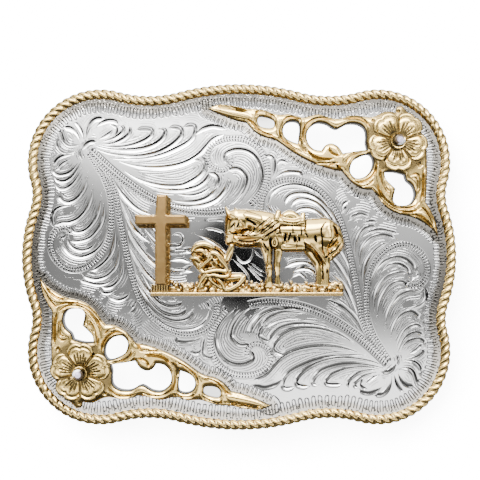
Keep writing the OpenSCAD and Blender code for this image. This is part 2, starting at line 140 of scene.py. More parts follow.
def closed_line(rows, step=0.3, steps=10):
    """A smooth closed line through rows of x, y and a 1 at a sharp corner, without its last
    point. The slopes are those of the solids' own curves."""
    rows = np.array(rows, float)
    n = len(rows)
    out = []
    for i in range(n):
        before, here, after, following = (rows[(i + k) % n] for k in (-1, 0, 1, 2))
        m = (after - (here if here[2] else before)) / 2
        k = ((after if after[2] else following) - here) / 2
        part = hermite(here[:2], after[:2], m[:2], k[:2], steps)
        part = even(np.vstack([part, after[None, :2]]), step)
        out.append(part[:-1])
    return np.vstack(out)


def normals_2d(line, closed=False):
    """Unit vectors to the left of a line at each of its points."""
    if closed:
        d = np.roll(line, -1, 0) - np.roll(line, 1, 0)
    else:
        d = np.gradient(line, axis=0)
    d /= np.maximum(np.linalg.norm(d, axis=1), 1e-9)[:, None]
    return np.stack([-d[:, 1], d[:, 0]], 1)


def inside(points, loop):
    """Which points lie inside a closed loop."""
    x, y = points[:, 0], points[:, 1]
    result = np.zeros(len(points), bool)
    lo, hi = loop.min(0), loop.max(0)
    near = np.flatnonzero((x >= lo[0]) & (x <= hi[0]) & (y >= lo[1]) & (y <= hi[1]))
    if not len(near):
        return result
    px, py = x[near], y[near]
    odd = np.zeros(len(near), bool)
    for (ax, ay), (bx, by) in zip(loop, np.roll(loop, -1, 0)):
        if ay == by:
            continue
        cross = (ay > py) != (by > py)
        odd ^= cross & (px < (bx - ax) * (py - ay) / (by - ay) + ax)
    result[near] = odd
    return result


def in_region(points, loops):
    """Which points lie inside the first loop and outside the others."""
    keep = inside(points, loops[0])
    for hole in loops[1:]:
        keep &= ~inside(points, hole)
    return keep


def to_line(points, line, closed=False):
    """Distance of points from a line, left of it positive, and how far along it, 0 to 1."""
    a = line if closed else line[:-1]
    b = np.roll(line, -1, 0) if closed else line[1:]
    d = b - a
    size = np.maximum((d ** 2).sum(1), 1e-12)
    stretch = np.sqrt(size)
    start = np.concatenate([[0], np.cumsum(stretch)])
    signed, along = np.zeros(len(points)), np.zeros(len(points))
    for first in range(0, len(points), BATCH):
        p = points[first:first + BATCH]
        rel = p[:, None] - a[None]
        t = np.clip((rel * d).sum(-1) / size, 0, 1)
        off = rel - t[..., None] * d
        dist = (off ** 2).sum(-1)
        k = dist.argmin(1)
        row = np.arange(len(p))
        side = d[k, 0] * rel[row, k, 1] - d[k, 1] * rel[row, k, 0]
        r = np.sqrt(dist[row, k])
        signed[first:first + BATCH] = np.where(side >= 0, r, -r)
        along[first:first + BATCH] = (start[k] + t[row, k] * stretch[k]) / start[-1]
    return signed, along


# -------------------------------------------------------------------------- the edge outline
def edge_arcs(inset):
    """The ring of arcs of the edge: centre, radius, start angle and turn, in degrees."""
    w, h = BUCKLE_W / 2, BUCKLE_H / 2
    corner = np.array([w, h]) - CORNER_INSET
    side, top = np.array([w - SIDE_R, 0]), np.array([0, h - TOP_R])

    def crossing(a, ra, b, rb):
        d = np.linalg.norm(b - a)
        along = (ra * ra - rb * rb + d * d) / (2 * d)
        up = math.sqrt(ra * ra - along * along)
        u = (b - a) / d
        return a + along * u - up * np.array([-u[1], u[0]])

    def bearing(a, b):
        return math.degrees(math.atan2(b[1] - a[1], b[0] - a[0]))

    hs = crossing(side, SIDE_R + SIDE_HOLLOW_R, corner, CORNER_R + SIDE_HOLLOW_R)
    ht = crossing(corner, CORNER_R + TOP_HOLLOW_R, top, TOP_R + TOP_HOLLOW_R)
    a1, a2 = bearing(side, hs), bearing(corner, hs)
    a3, a4 = bearing(corner, ht), bearing(top, ht)
    quarter = [(side, SIDE_R - inset, 0, a1), (hs, SIDE_HOLLOW_R + inset, a1 + 180, a2 - a1),
               (corner, CORNER_R - inset, a2, a3 - a2), (ht, TOP_HOLLOW_R + inset, a3 + 180, a4 - a3),
               (top, TOP_R - inset, a4, 90 - a4)]
    flipped = [(c * [-1, 1], r, 180 - a - t, t) for c, r, a, t in reversed(quarter)]
    upper = quarter + flipped
    return upper + [(-c, r, a + 180, t) for c, r, a, t in upper]


def edge_line(inset, step):
    """Points along the edge outline, an even distance apart, and the outward directions."""
    points, outward = [], []
    for centre, radius, start, turn in edge_arcs(inset):
        n = max(4, int(abs(math.radians(turn)) * radius / 0.15))
        a = np.radians(start + turn * np.arange(n) / n)
        ray = np.stack([np.cos(a), np.sin(a)], 1)
        points.append(centre + radius * ray)
        outward.append(ray * (1 if turn > 0 else -1))
    p, o = ring(np.vstack(points)), ring(np.vstack(outward))
    length = lengths(p)
    count = int(round(length[-1] / step))
    at = np.arange(count) * length[-1] / count
    p = np.stack([np.interp(at, length, p[:, k]) for k in (0, 1)], 1)
    o = np.stack([np.interp(at, length, o[:, k]) for k in (0, 1)], 1)
    return p, o / np.linalg.norm(o, axis=1)[:, None]


# --------------------------------------------------------------------- a mesh out of numpy
def new_piece(name, points, faces, material, nodes, smooth, values):
    """A finished piece in the scene: millimetre points, faces, and values at the points or at
    the corners of the first faces."""
    mesh = bpy.data.meshes.new(name)
    mesh.from_pydata((np.asarray(points) * MM).tolist(), [], [list(map(int, f)) for f in faces])
    for label, data in values:
        data = np.asarray(data, np.float32)
        if data.ndim == 2:
            # The other faces lie far from every line
            padded = np.full(len(mesh.loops), 0 if label == "hatched" else FAR, np.float32)
            padded[:data.size] = data.ravel()
            mesh.attributes.new(label, "FLOAT", "CORNER").data.foreach_set("value", padded)
        else:
            mesh.attributes.new(label, "FLOAT", "POINT").data.foreach_set("value", data)
    mesh.validate()
    piece = bpy.data.objects.new(name, mesh)
    bpy.context.scene.collection.objects.link(piece)
    mesh.materials.append(material)
    bpy.ops.object.select_all(action="DESELECT")
    piece.select_set(True)
    bpy.context.view_layer.objects.active = piece
    bpy.ops.object.shade_smooth_by_angle(angle=math.radians(smooth))
    piece.select_set(False)
    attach(piece, "root")
    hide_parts(*nodes)


def hex_fill(lo, hi, spacing):
    """Points of a triangular grid between two corners."""
    rows = np.arange(lo[1], hi[1], spacing * math.sqrt(3) / 2)
    cols = np.arange(lo[0], hi[0], spacing)
    grid = np.stack(np.meshgrid(cols, rows), -1)
    grid[1::2, :, 0] += spacing / 2
    return grid.reshape(-1, 2)


def tree_of(points):
    """A search tree of flat points."""
    tree = KDTree(len(points))
    for i, p in enumerate(points):
        tree.insert((p[0], p[1], 0), i)
    tree.balance()
    return tree


def triangulate(loops, lines, fill, clear):
    """Triangles of the region in the first loop and outside the others, with an edge along
    each line, and fill points wherever no line or loop is nearer than clear."""
    edges, count = [], 0
    for loop in loops:
        edges += [(count + i, count + (i + 1) % len(loop)) for i in range(len(loop))]
        count += len(loop)
    for line in lines:
        edges += [(count + i, count + i + 1) for i in range(len(line) - 1)]
        count += len(line)
    fixed = np.vstack([*loops, *lines])
    tree = tree_of(fixed)
    fill = fill[in_region(fill, loops)]
    fill = fill[np.array([tree.find((p[0], p[1], 0))[2] > clear for p in fill], bool)]
    every = np.vstack([fixed, fill])
    verts, _, faces, *_ = delaunay_2d_cdt([Vector(p) for p in every.tolist()], edges, [], 0, 1e-5, False)
    verts = np.array([tuple(v) for v in verts], float)
    faces = np.array([f for f in faces if len(f) == 3], int)
    faces = faces[in_region(verts[faces].mean(1), loops)]
    used, back = np.unique(faces, return_inverse=True)
    return verts[used], back.reshape(-1, 3)


def border_edges(faces):
    """Directed edges that only one triangle has."""
    e = np.vstack([faces[:, [0, 1]], faces[:, [1, 2]], faces[:, [2, 0]]])
    key = np.sort(e, 1)
    _, first, count = np.unique(key, axis=0, return_index=True, return_counts=True)
    return e[first[count == 1]]


def relief(name, loops, lines, fill, clear, height, depth, material, nodes, values, smooth,
           half_turn=False):
    """A closed piece whose front is the region of the loops, raised to height(points). Its sides
    go down to depth(points), leaning with the dome, and its back is closed."""
    flat, front = triangulate(loops, lines, fill, clear)
    z = height(flat)
    rim = border_edges(front)
    ids = np.unique(rim)
    place = {int(k): i for i, k in enumerate(ids)}
    low_z = depth(flat[ids])
    low = flat[ids] * (1 - np.maximum(z[ids] - low_z, 0) / DOME_R)[:, None]
    n = len(flat)
    points = np.vstack([np.column_stack([flat, z]), np.column_stack([low, low_z])])
    faces = [tuple(f) for f in front]
    for a, b in rim:
        faces.append((int(b), int(a), n + place[int(a)], n + place[int(b)]))
    # The back: the same rim, joined by larger triangles
    chains = chain_loops(rim)
    low_loops = [np.array([points[n + place[k]][:2] for k in chain]) for chain in chains]
    areas = [abs(loop_area(loop)) for loop in low_loops]
    order = np.argsort(areas)[::-1]
    low_loops = [low_loops[i] for i in order]
    spacing = max(1.0, math.sqrt(areas[order[0]]) / 30)
    back_fill = hex_fill(low_loops[0].min(0), low_loops[0].max(0), spacing)
    back_flat, back = triangulate(low_loops, [], back_fill, spacing * 0.5)
    tree = tree_of(low)
    renumber, extra = [], []
    for p in back_flat:
        _, i, dist = tree.find((p[0], p[1], 0))
        if dist < 1e-3:
            renumber.append(n + i)
        else:
            renumber.append(n + len(ids) + len(extra))
            extra.append(p)
    if extra:
        extra = np.array(extra)
        points = np.vstack([points, np.column_stack([extra, depth(extra)])])
    faces += [(renumber[c], renumber[b], renumber[a]) for a, b, c in back]
    named = []
    for label, data in values(flat, front):
        if label == "shade_and_patina":
            # Steep places get painted shade too, like the sides and the back
            steep = steepness(np.column_stack([flat, z]), front)
            data = np.maximum(data, np.clip((steep - 0.20) / 0.25, 0, 1))
            data = np.concatenate([data, np.ones(len(points) - n)])
        elif data.ndim == 1:
            data = np.concatenate([data, np.zeros(len(points) - n)])
        named.append((label, data))
    if half_turn:
        points = points * [-1, -1, 1]
    new_piece(name, points, faces, material, nodes, smooth, named)


def steepness(points, faces):
    """How far the surface tilts at each point: 0 where it lies flat, 1 where it is upright."""
    a, b, c = (points[faces[:, k]] for k in range(3))
    normal = np.cross(b - a, c - a)
    total = np.zeros_like(points)
    for k in range(3):
        np.add.at(total, faces[:, k], normal)
    return 1 - np.abs(total[:, 2]) / np.maximum(np.linalg.norm(total, axis=1), 1e-12)


def loop_area(loop):
    """The area in a loop, above 0 where it runs anticlockwise."""
    x, y = loop[:, 0], loop[:, 1]
    return 0.5 * (x * np.roll(y, -1) - y * np.roll(x, -1)).sum()


def chain_loops(rim):
    """The closed loops that directed edges form."""
    after = {}
    for a, b in rim:
        after.setdefault(int(a), []).append(int(b))
    loops = []
    while after:
        start = next(iter(after))
        loop, here = [start], after[start].pop()
        if not after[start]:
            del after[start]
        while here != start:
            loop.append(here)
            following = after[here].pop()
            if not after[here]:
                del after[here]
            here = following
        loops.append(loop)
    return loops


# ---------------------------------------------------------------------------------- cuts
class Cut:
    """A bright-cut line: a steep wall on one side and a slow ramp on the other."""
    LEAST = 0.12    # its scale at its ends
    GUARD = 0.13    # distance of the lines beside it that keep its tilt off the flat next to it

    def __init__(self, points, ramp, deep, steep, side, root, tip):
        self.line = open_line(points, 0.4)
        t = np.linspace(0, 1, len(self.line))
        grow = np.minimum(1, t / root) ** 0.8 * np.minimum(1, (1 - t) / tip) ** 0.6
        self.scale = self.LEAST + (1 - self.LEAST) * grow
        self.ramp, self.deep, self.steep, self.side = ramp, deep, steep, side

    def turned(self):
        """The same cut half a turn further round the face."""
        other = copy.copy(self)
        other.line = -self.line
        return other

    def lines(self):
        """The lines along it where its slope changes, for the mesh."""
        reach = [-self.steep * self.scale]
        reach += [self.ramp * share * self.scale for share in (0, 0.25, 0.55, 1)]
        reach += [self.ramp * self.scale + self.GUARD, -self.steep * self.scale - self.GUARD]
        n = normals_2d(self.line) * self.side
        return [self.line + n * r[:, None] for r in reach]

    def depth_at(self, points):
        d, along = to_line(points, self.line)
        s = spread(self.scale, along)
        e = d * self.side
        ramp = np.clip(1 - e / (self.ramp * s), 0, 1) ** 1.6
        wall = np.clip(1 + e / (self.steep * s), 0, 1)
        return self.deep * s * np.where(e >= 0, ramp, wall)


def around(points, line, reach):
    """The numbers of the points in the box of a line, with reach on every side."""
    lo, hi = line.min(0) - reach, line.max(0) + reach
    return np.flatnonzero((points >= lo).all(1) & (points <= hi).all(1))


def cut_depth(points, cuts):
    """How deep the cuts go at points."""
    depth = np.zeros(len(points))
    for cut in cuts:
        pick = around(points, cut.line, max(cut.ramp, cut.steep))
        if len(pick):
            depth[pick] = np.maximum(depth[pick], cut.depth_at(points[pick]))
    return depth


def nearest_line(points, lines, reach):
    """The nearest line of each point, or -1 where none is within reach."""
    which = np.full(len(points), -1)
    best = np.full(len(points), float(reach))
    for k, line in enumerate(lines):
        pick = around(points, line, reach)
        if len(pick):
            away = np.abs(to_line(points[pick], line)[0])
            closer = away < best[pick]
            best[pick[closer]] = away[closer]
            which[pick[closer]] = k
    return which


def along_lines(points, faces, lines, reach, closed=False):
    """At each corner of each face, the place along and across the line that is nearest to the
    face, in millimetres, and the number of that line. Across is FAR with no line in reach."""
    whole = [ring(line) if closed else line for line in lines]
    which = nearest_line(points[faces].mean(1), whole, reach)
    along, across = np.zeros(faces.shape), np.full(faces.shape, FAR)
    for k in np.unique(which[which >= 0]):
        rows = np.flatnonzero(which == k)
        d, t = to_line(points[faces[rows]].reshape(-1, 2), lines[k], closed)
        t = t.reshape(-1, 3)
        if closed:
            t = t - np.round(t - t[:, :1])
        along[rows], across[rows] = t * lengths(whole[k])[-1], d.reshape(-1, 3)
    return along, across, which


# ------------------------------------------------------------------- the engraved design
# One half of the engraving, in the order of the leaves of the left palmette and of the scrolls.
# The other half is the same, turned half round. A row is: the ramp's width, the depth, the side
# of the ramp (1 is left of the way the line runs), the share of the line over which it swells
# from its root and narrows to its tip, and the points of the line.
LEAVES = [
    (0.6, 0.24, -1, 0.5, 0.10, [(-31.6, 26.2), (-29.4, 26.5), (-27.4, 27.3), (-26.1, 28.2),
        (-25.4, 29.2), (-25.5, 30.2)]),
    (0.7, 0.24, -1, 0.6, 0.04, [(-32.4, 26.0), (-28.5, 25.6), (-25.0, 26.1), (-22.2, 27.1),
        (-20.7, 28.1), (-20.2, 29.1), (-21.0, 29.6), (-23.7, 29.6)]),
    (0.8, 0.26, -1, 0.5, 0.06, [(-33.2, 25.8), (-30.0, 25.2), (-26.5, 24.9), (-23.0, 25.2),
        (-20.0, 26.1), (-18.3, 27.2), (-17.4, 28.5), (-17.3, 29.4), (-18.2, 29.7)]),
    (0.8, 0.26, -1, 0.5, 0.04, [(-33.0, 25.0), (-30.0, 24.1), (-26.5, 23.6), (-23.0, 23.5),
        (-19.5, 24.2), (-16.8, 25.4), (-14.7, 26.9), (-13.4, 28.6), (-13.9, 29.8), (-16.2, 30.0)]),
    (0.8, 0.24, -1, 0.5, 0.04, [(-29.0, 22.8), (-25.5, 22.8), (-22.0, 23.0), (-18.5, 23.7),
        (-15.5, 24.8), (-12.5, 26.3), (-11.0, 27.6), (-10.3, 29.2), (-10.6, 30.4), (-12.8, 30.2)]),
    (1.1, 0.26, -1, 0.4, 0.10, [(-27.5, 22.1), (-24.0, 21.2), (-20.0, 20.8), (-16.0, 21.1),
        (-12.5, 22.0), (-9.7, 23.6), (-8.0, 25.3), (-6.6, 26.9), (-5.2, 27.9), (-3.6, 28.4)]),
    (0.8, 0.28, -1, 0.3, 0.20, [(-10.0, 28.4), (-8.5, 29.8), (-6.2, 30.5), (-4.4, 30.2), (-3.1, 29.7)]),
    (1.2, 0.30, -1, 0.4, 0.04, [(-26.2, 19.7), (-23.5, 18.2), (-20.5, 17.2), (-17.0, 16.6),
        (-13.5, 16.7), (-11.0, 17.7), (-9.2, 18.9), (-8.1, 20.3), (-8.1, 21.5), (-8.9, 22.3),
        (-10.4, 22.7)]),
    (0.7, 0.24, -1, 0.4, 0.05, [(-22.0, 17.0), (-19.5, 16.1), (-16.5, 15.6), (-13.0, 15.6),
        (-10.0, 16.3), (-8.2, 17.4), (-7.2, 18.7), (-7.0, 19.5)]),
    (0.7, 0.24, -1, 0.2, 0.20, [(-7.1, 19.4), (-5.7, 19.3), (-4.8, 18.3), (-4.9, 17.0), (-5.7, 15.9)]),
    (0.7, 0.28, -1, 0.4, 0.15, [(-15.0, 13.0), (-11.0, 12.9), (-8.5, 13.4), (-6.6, 14.4), (-5.2, 15.9)]),
    (0.9, 0.26, -1, 0.4, 0.05, [(-16.0, 12.2), (-12.0, 11.8), (-8.5, 12.1), (-5.6, 13.2), (-3.8, 14.9),
        (-2.7, 16.8), (-2.5, 18.1)]),
    (0.5, 0.14, -1, 0.4, 0.20, [(-14.0, 14.5), (-11.0, 14.3), (-8.6, 14.9), (-6.6, 16.2)]),
    (0.7, 0.28, -1, 0.3, 0.15, [(-36.6, 24.9), (-35.9, 26.0), (-34.7, 26.9), (-33.2, 26.8)]),
    (0.4, 0.14, 1, 0.3, 0.30, [(-36.6, 25.2), (-37.0, 24.0), (-36.6, 22.8)]),
    (0.8, 0.26, -1, 0.5, 0.10, [(-35.6, 28.0), (-35.3, 30.0), (-34.4, 31.5), (-33.2, 32.3), (-31.6, 32.3)]),
    (0.7, 0.24, -1, 0.3, 0.10, [(-33.2, 30.4), (-31.9, 31.4), (-30.2, 31.9), (-28.7, 31.6), (-28.2, 30.9)]),
    (0.4, 0.20, -1, 0.1, 0.30, [(-29.7, 30.7), (-28.7, 30.3), (-28.4, 29.3), (-28.9, 28.2)]),
    (0.6, 0.18, -1, 0.4, 0.30, [(-32.4, 27.5), (-30.7, 28.5), (-29.5, 29.5)]),
    (0.6, 0.22, -1, 0.5, 0.06, [(-31.6, 26.9), (-29.4, 27.6), (-27.8, 28.6), (-26.9, 29.7), (-27.6, 30.4)]),
    (0.6, 0.20, 1, 0.5, 0.06, [(-36.2, 27.6), (-36.7, 29.4), (-37.6, 30.9), (-38.3, 31.3)]),
    (0.8, 0.24, 1, 0.5, 0.08, [(-37.2, 27.4), (-37.9, 29.0), (-39.2, 30.1), (-40.8, 30.3)]),
    (0.8, 0.26, -1, 0.4, 0.06, [(-37.6, 26.0), (-39.6, 26.0), (-40.8, 27.0), (-41.4, 28.6), (-41.8, 29.8)]),
    (0.7, 0.22, -1, 0.4, 0.06, [(-38.6, 24.4), (-40.4, 24.3), (-41.8, 25.1), (-42.5, 26.4), (-42.3, 27.7)]),
    (0.6, 0.24, 1, 0.4, 0.08, [(-38.9, 23.9), (-41.0, 23.6), (-42.4, 22.8), (-43.2, 21.5)]),
    (0.6, 0.26, 1, 0.4, 0.06, [(-37.6, 21.9), (-38.6, 20.5), (-40.0, 19.5), (-41.8, 19.2), (-42.9, 19.6),
        (-43.3, 20.5)]),
    (0.6, 0.18, 1, 0.3, 0.10, [(-39.6, 22.6), (-41.3, 21.7), (-42.6, 20.3)]),
    (0.6, 0.26, 1, 0.5, 0.06, [(-37.0, 22.0), (-37.7, 20.4), (-38.8, 18.9), (-40.2, 17.9), (-41.6, 17.7),
        (-42.9, 18.3)]),
    (0.5, 0.22, 1, 0.5, 0.06, [(-36.8, 20.6), (-37.5, 18.9), (-38.7, 17.2), (-40.2, 16.1), (-41.5, 15.9),
        (-42.7, 16.6)]),
    (0.8, 0.28, 1, 0.5, 0.04, [(-35.4, 18.2), (-35.8, 16.6), (-36.7, 14.9), (-37.9, 13.6), (-39.4, 12.9),
        (-40.9, 13.1), (-42.1, 14.3)]),
    (1.0, 0.30, 1, 0.5, 0.08, [(-34.1, 15.4), (-34.5, 13.4), (-35.6, 11.1), (-37.4, 9.1), (-39.4, 8.2),
        (-41.4, 8.0), (-42.7, 7.4)]),
    (0.7, 0.26, 1, 0.3, 0.15, [(-39.7, 11.9), (-41.2, 11.8), (-42.6, 11.2), (-43.5, 9.9), (-43.7, 8.3),
        (-43.2, 7.0)]),
    (0.8, 0.26, 1, 0.5, 0.05, [(-32.1, 13.5), (-32.6, 10.8), (-33.6, 8.6), (-35.1, 6.8), (-36.8, 5.9),
        (-38.4, 6.0), (-39.2, 7.1)]),
    (0.8, 0.24, 1, 0.4, 0.10, [(-31.4, 12.0), (-31.6, 9.2), (-32.6, 6.8), (-34.2, 4.9), (-36.2, 3.9),
        (-39.0, 3.6)]),
    (0.9, 0.30, 1, 0.4, 0.08, [(-30.6, 7.0), (-31.1, 4.6), (-32.4, 2.4), (-34.2, 0.9), (-36.6, 0.1),
        (-38.8, 0.5), (-40.4, 1.8), (-41.2, 3.6)]),
    (0.5, 0.24, 1, 0.2, 0.10, [(-33.4, 3.2), (-34.8, 2.0), (-36.8, 1.6), (-38.4, 2.1), (-39.4, 3.2),
        (-39.7, 4.8)]),
    (0.4, 0.18, -1, 0.2, 0.20, [(-41.6, 3.4), (-41.4, 4.4), (-40.7, 4.6), (-40.2, 5.5)]),
    (0.8, 0.26, -1, 0.4, 0.30, [(-29.3, 18.4), (-27.7, 15.5), (-25.6, 13.0), (-23.4, 11.2), (-20.6, 9.9)]),
    (0.8, 0.24, -1, 0.4, 0.30, [(-27.4, 13.2), (-26.0, 10.1), (-24.6, 7.4), (-23.0, 5.4), (-21.0, 3.6)]),
    (0.9, 0.26, -1, 0.4, 0.30, [(-26.2, 9.0), (-25.5, 6.2), (-24.1, 3.9), (-22.2, 1.3), (-19.6, -1.4),
        (-15.5, -3.4)]),
    (0.8, 0.24, -1, 0.4, 0.30, [(-25.9, 6.4), (-25.3, 2.6), (-24.1, 0.3), (-22.6, -2.0), (-20.8, -4.3),
        (-17.0, -7.6)]),
    (0.9, 0.26, -1, 0.4, 0.30, [(-25.4, 1.6), (-24.5, -1.2), (-23.8, -3.4), (-22.6, -5.6), (-20.8, -7.9),
        (-17.6, -10.3)]),
    (0.9, 0.28, 1, 0.4, 0.08, [(-28.9, 6.5), (-29.0, 3.6), (-29.6, 1.2), (-31.0, -0.9), (-32.8, -2.4),
        (-34.2, -3.2)]),
    (0.8, 0.28, 1, 0.4, 0.06, [(-27.9, 2.0), (-28.2, -1.0), (-29.2, -3.0), (-31.0, -4.5), (-33.2, -5.1),
        (-35.0, -4.8), (-36.2, -4.3)]),
    (0.5, 0.24, 1, 0.4, 0.06, [(-28.6, -4.6), (-30.4, -5.9), (-32.6, -6.4), (-34.8, -6.0), (-36.8, -5.5)]),
    (0.8, 0.30, 1, 0.4, 0.05, [(-26.9, -0.5), (-27.2, -3.4), (-28.2, -5.6), (-29.8, -6.9), (-31.7, -7.0)]),
    (0.4, 0.24, 1, 0.3, 0.10, [(-28.8, -7.7), (-30.4, -8.4), (-32.0, -8.1)]),
    (0.7, 0.28, 1, 0.2, 0.15, [(-25.4, -8.4), (-26.5, -9.5), (-28.0, -10.0), (-29.2, -9.7), (-30.2, -9.3)]),
    (0.5, 0.28, 1, 0.3, 0.15, [(-23.8, -10.2), (-24.9, -11.9)]),
    (0.7, 0.26, 1, 0.3, 0.06, [(1.6, 12.6), (3.6, 14.4), (4.9, 16.6), (5.4, 18.8), (5.0, 21.2),
        (3.8, 23.3), (2.0, 24.6), (0.0, 25.0), (-1.8, 24.7), (-3.2, 23.8), (-3.3, 22.6), (-2.6, 21.7)]),
    (0.8, 0.30, 1, 0.3, 0.06, [(-2.2, 12.0), (-0.9, 12.9), (0.4, 14.4), (1.4, 16.2), (1.8, 17.9),
        (1.4, 19.2), (0.2, 20.3), (-1.0, 20.6), (-2.4, 20.2)]),
    (0.5, 0.18, -1, 0.2, 0.30, [(6.9, 12.2), (7.2, 14.0), (8.4, 15.5), (10.4, 16.5), (13.0, 16.8),
        (15.6, 16.3), (18.2, 15.0), (20.2, 13.0)]),
    (0.9, 0.28, 1, 0.5, 0.06, [(24.2, 5.2), (22.9, 8.0), (21.2, 10.6), (19.2, 12.8), (17.2, 14.2),
        (14.8, 14.9), (12.4, 14.6), (11.0, 13.5), (10.7, 12.3)]),
    (0.8, 0.26, 1, 0.5, 0.08, [(23.6, 4.8), (22.2, 7.4), (20.4, 10.2), (18.4, 12.3), (16.2, 13.3),
        (14.2, 13.5), (12.8, 12.9), (12.3, 12.0)]),
    (0.7, 0.24, 1, 0.5, 0.08, [(22.4, 4.2), (20.6, 7.8), (18.6, 10.2), (16.4, 11.3), (14.2, 11.2),
        (13.2, 10.4)]),
    (0.3, 0.20, 1, 0.3, 0.30, [(6.6, 12.1), (7.6, 10.3)]),
    (0.5, 0.22, -1, 0.1, 0.30, [(5.9, 23.4), (7.4, 23.4), (8.2, 22.4), (8.3, 20.6), (7.9, 18.8)]),
    (0.4, 0.20, -1, 0.3, 0.20, [(8.9, 21.4), (9.5, 22.3), (10.4, 22.3), (11.3, 21.8)]),
    (0.6, 0.26, -1, 0.4, 0.05, [(8.8, 18.6), (10.0, 19.4), (11.6, 19.8), (13.2, 19.8), (14.3, 19.5),
        (14.5, 18.5)]),
    (0.5, 0.24, -1, 0.4, 0.10, [(24.0, 11.5), (24.4, 12.5), (25.3, 12.9)]),
    (0.9, 0.26, 1, 0.4, 0.08, [(21.4, -1.0), (19.0, 1.6), (16.4, 3.2), (14.0, 3.5), (12.2, 3.0),
        (11.0, 1.9)]),
    (0.9, 0.26, 1, 0.4, 0.08, [(22.0, -6.5), (19.4, -3.2), (17.0, -1.6), (14.6, -1.1), (12.4, -1.4),
        (11.0, -2.2)]),
    (0.6, 0.24, 1, 0.4, 0.08, [(21.0, -8.0), (18.6, -4.6), (16.6, -2.9), (14.4, -2.6), (13.0, -3.2)]),
]
# Cuts of the middle, which have no turned copy
MIDDLE = [
    (0.35, 0.16, -1, 0.3, 0.20, [(-8.8, 4.8), (-6.8, 3.9), (-4.8, 2.7), (-3.0, 1.2)]),
    (0.35, 0.26, 1, 0.1, 0.10, [(-7.4, 8.7), (-5.2, 8.8), (-3.2, 8.6)]),
    (0.25, 0.14, 1, 0.1, 0.10, [(-7.6, 6.6), (-5.6, 6.4), (-3.6, 5.7)]),
    (0.5, 0.18, 1, 0.3, 0.20, [(-15.4, 5.2), (-13.8, 5.3), (-12.9, 4.2), (-13.6, 3.1), (-14.8, 3.3)]),
    (0.7, 0.20, -1, 0.3, 0.20, [(-15.6, 1.4), (-13.2, 1.7), (-11.2, 1.0)]),
    (0.7, 0.20, -1, 0.3, 0.20, [(-15.6, -0.8), (-13.4, -0.4), (-11.4, -1.2)]),
    (0.7, 0.18, -1, 0.3, 0.20, [(-15.6, -3.0), (-13.4, -2.8), (-11.0, -3.4)]),
    (0.18, 0.08, 1, 0.1, 0.40, [(-0.5, 0.2), (0.0, -0.6), (0.9, -1.25), (2.1, -0.95), (3.0, 0.2),
        (3.2, 1.7)]),
    (0.18, 0.07, 1, 0.2, 0.30, [(-0.9, -1.0), (0.5, -2.2), (1.5, -3.3), (2.2, -4.4), (2.4, -5.6)]),
    (0.18, 0.07, 1, 0.2, 0.30, [(2.3, -2.7), (3.4, -3.6), (4.4, -4.7), (5.4, -5.6)]),
    (0.12, 0.018, 1, 0.2, 0.20, [(2.2, -1.8), (3.8, -3.0), (5.6, -4.4)]),
    (0.12, 0.018, 1, 0.2, 0.20, [(2.9, -1.4), (4.3, -2.4), (5.8, -3.5)]),
    (0.12, 0.018, 1, 0.2, 0.20, [(3.7, 1.6), (4.5, 0.6), (5.8, -0.2)]),
    (0.6, 0.28, 1, 0.2, 0.20, [(13.4, -2.6), (15.0, -1.9), (17.0, -2.2)]),
    (0.5, 0.28, -1, 0.2, 0.20, [(12.4, -4.6), (13.8, -3.6), (15.2, -4.4), (15.7, -5.6)]),
]
# The beaded ribbons: the width at the start and at the end, and the points of the middle line
RIBBONS = [
    (1.9, 1.6, [(-34.4, 24.6), (-31.4, 21.7), (-28.0, 18.8), (-24.0, 15.9), (-20.0, 13.5), (-15.5, 11.7),
        (-11.0, 10.7), (-6.5, 10.4), (-2.5, 11.0)]),
    (1.2, 1.3, [(-34.9, 23.9), (-33.0, 21.0), (-31.2, 18.0), (-30.0, 14.6), (-29.6, 11.0), (-29.7, 7.5),
        (-30.2, 4.4), (-31.4, 1.6), (-33.4, -0.8), (-35.8, -2.4), (-38.4, -3.0), (-41.0, -2.2),
        (-43.1, 0.1), (-43.9, 2.6), (-43.4, 5.0), (-41.9, 6.6), (-40.2, 6.8), (-39.1, 5.9)]),
    (1.2, 1.3, [(-34.0, 23.2), (-32.0, 20.6), (-30.0, 17.9), (-28.6, 14.4), (-28.0, 10.5), (-27.2, 6.5),
        (-26.4, 2.5), (-25.5, -1.5), (-24.6, -5.0), (-23.4, -8.6), (-21.8, -11.6), (-19.6, -14.4),
        (-16.4, -16.8), (-12.6, -17.9), (-9.2, -17.4), (-6.7, -15.9), (-5.4, -13.6), (-5.0, -11.0)]),
    (1.6, 1.1, [(3.0, 12.2), (4.8, 14.3), (6.1, 16.6), (6.7, 19.0), (6.4, 21.5), (5.5, 23.8),
        (3.8, 25.8), (1.4, 27.1), (-1.4, 27.5), (-4.2, 27.0), (-6.4, 25.7), (-7.4, 23.7), (-7.0, 21.6),
        (-5.6, 20.4), (-3.9, 20.0), (-2.5, 20.7), (-1.8, 21.9), (-2.1, 23.1)]),
]

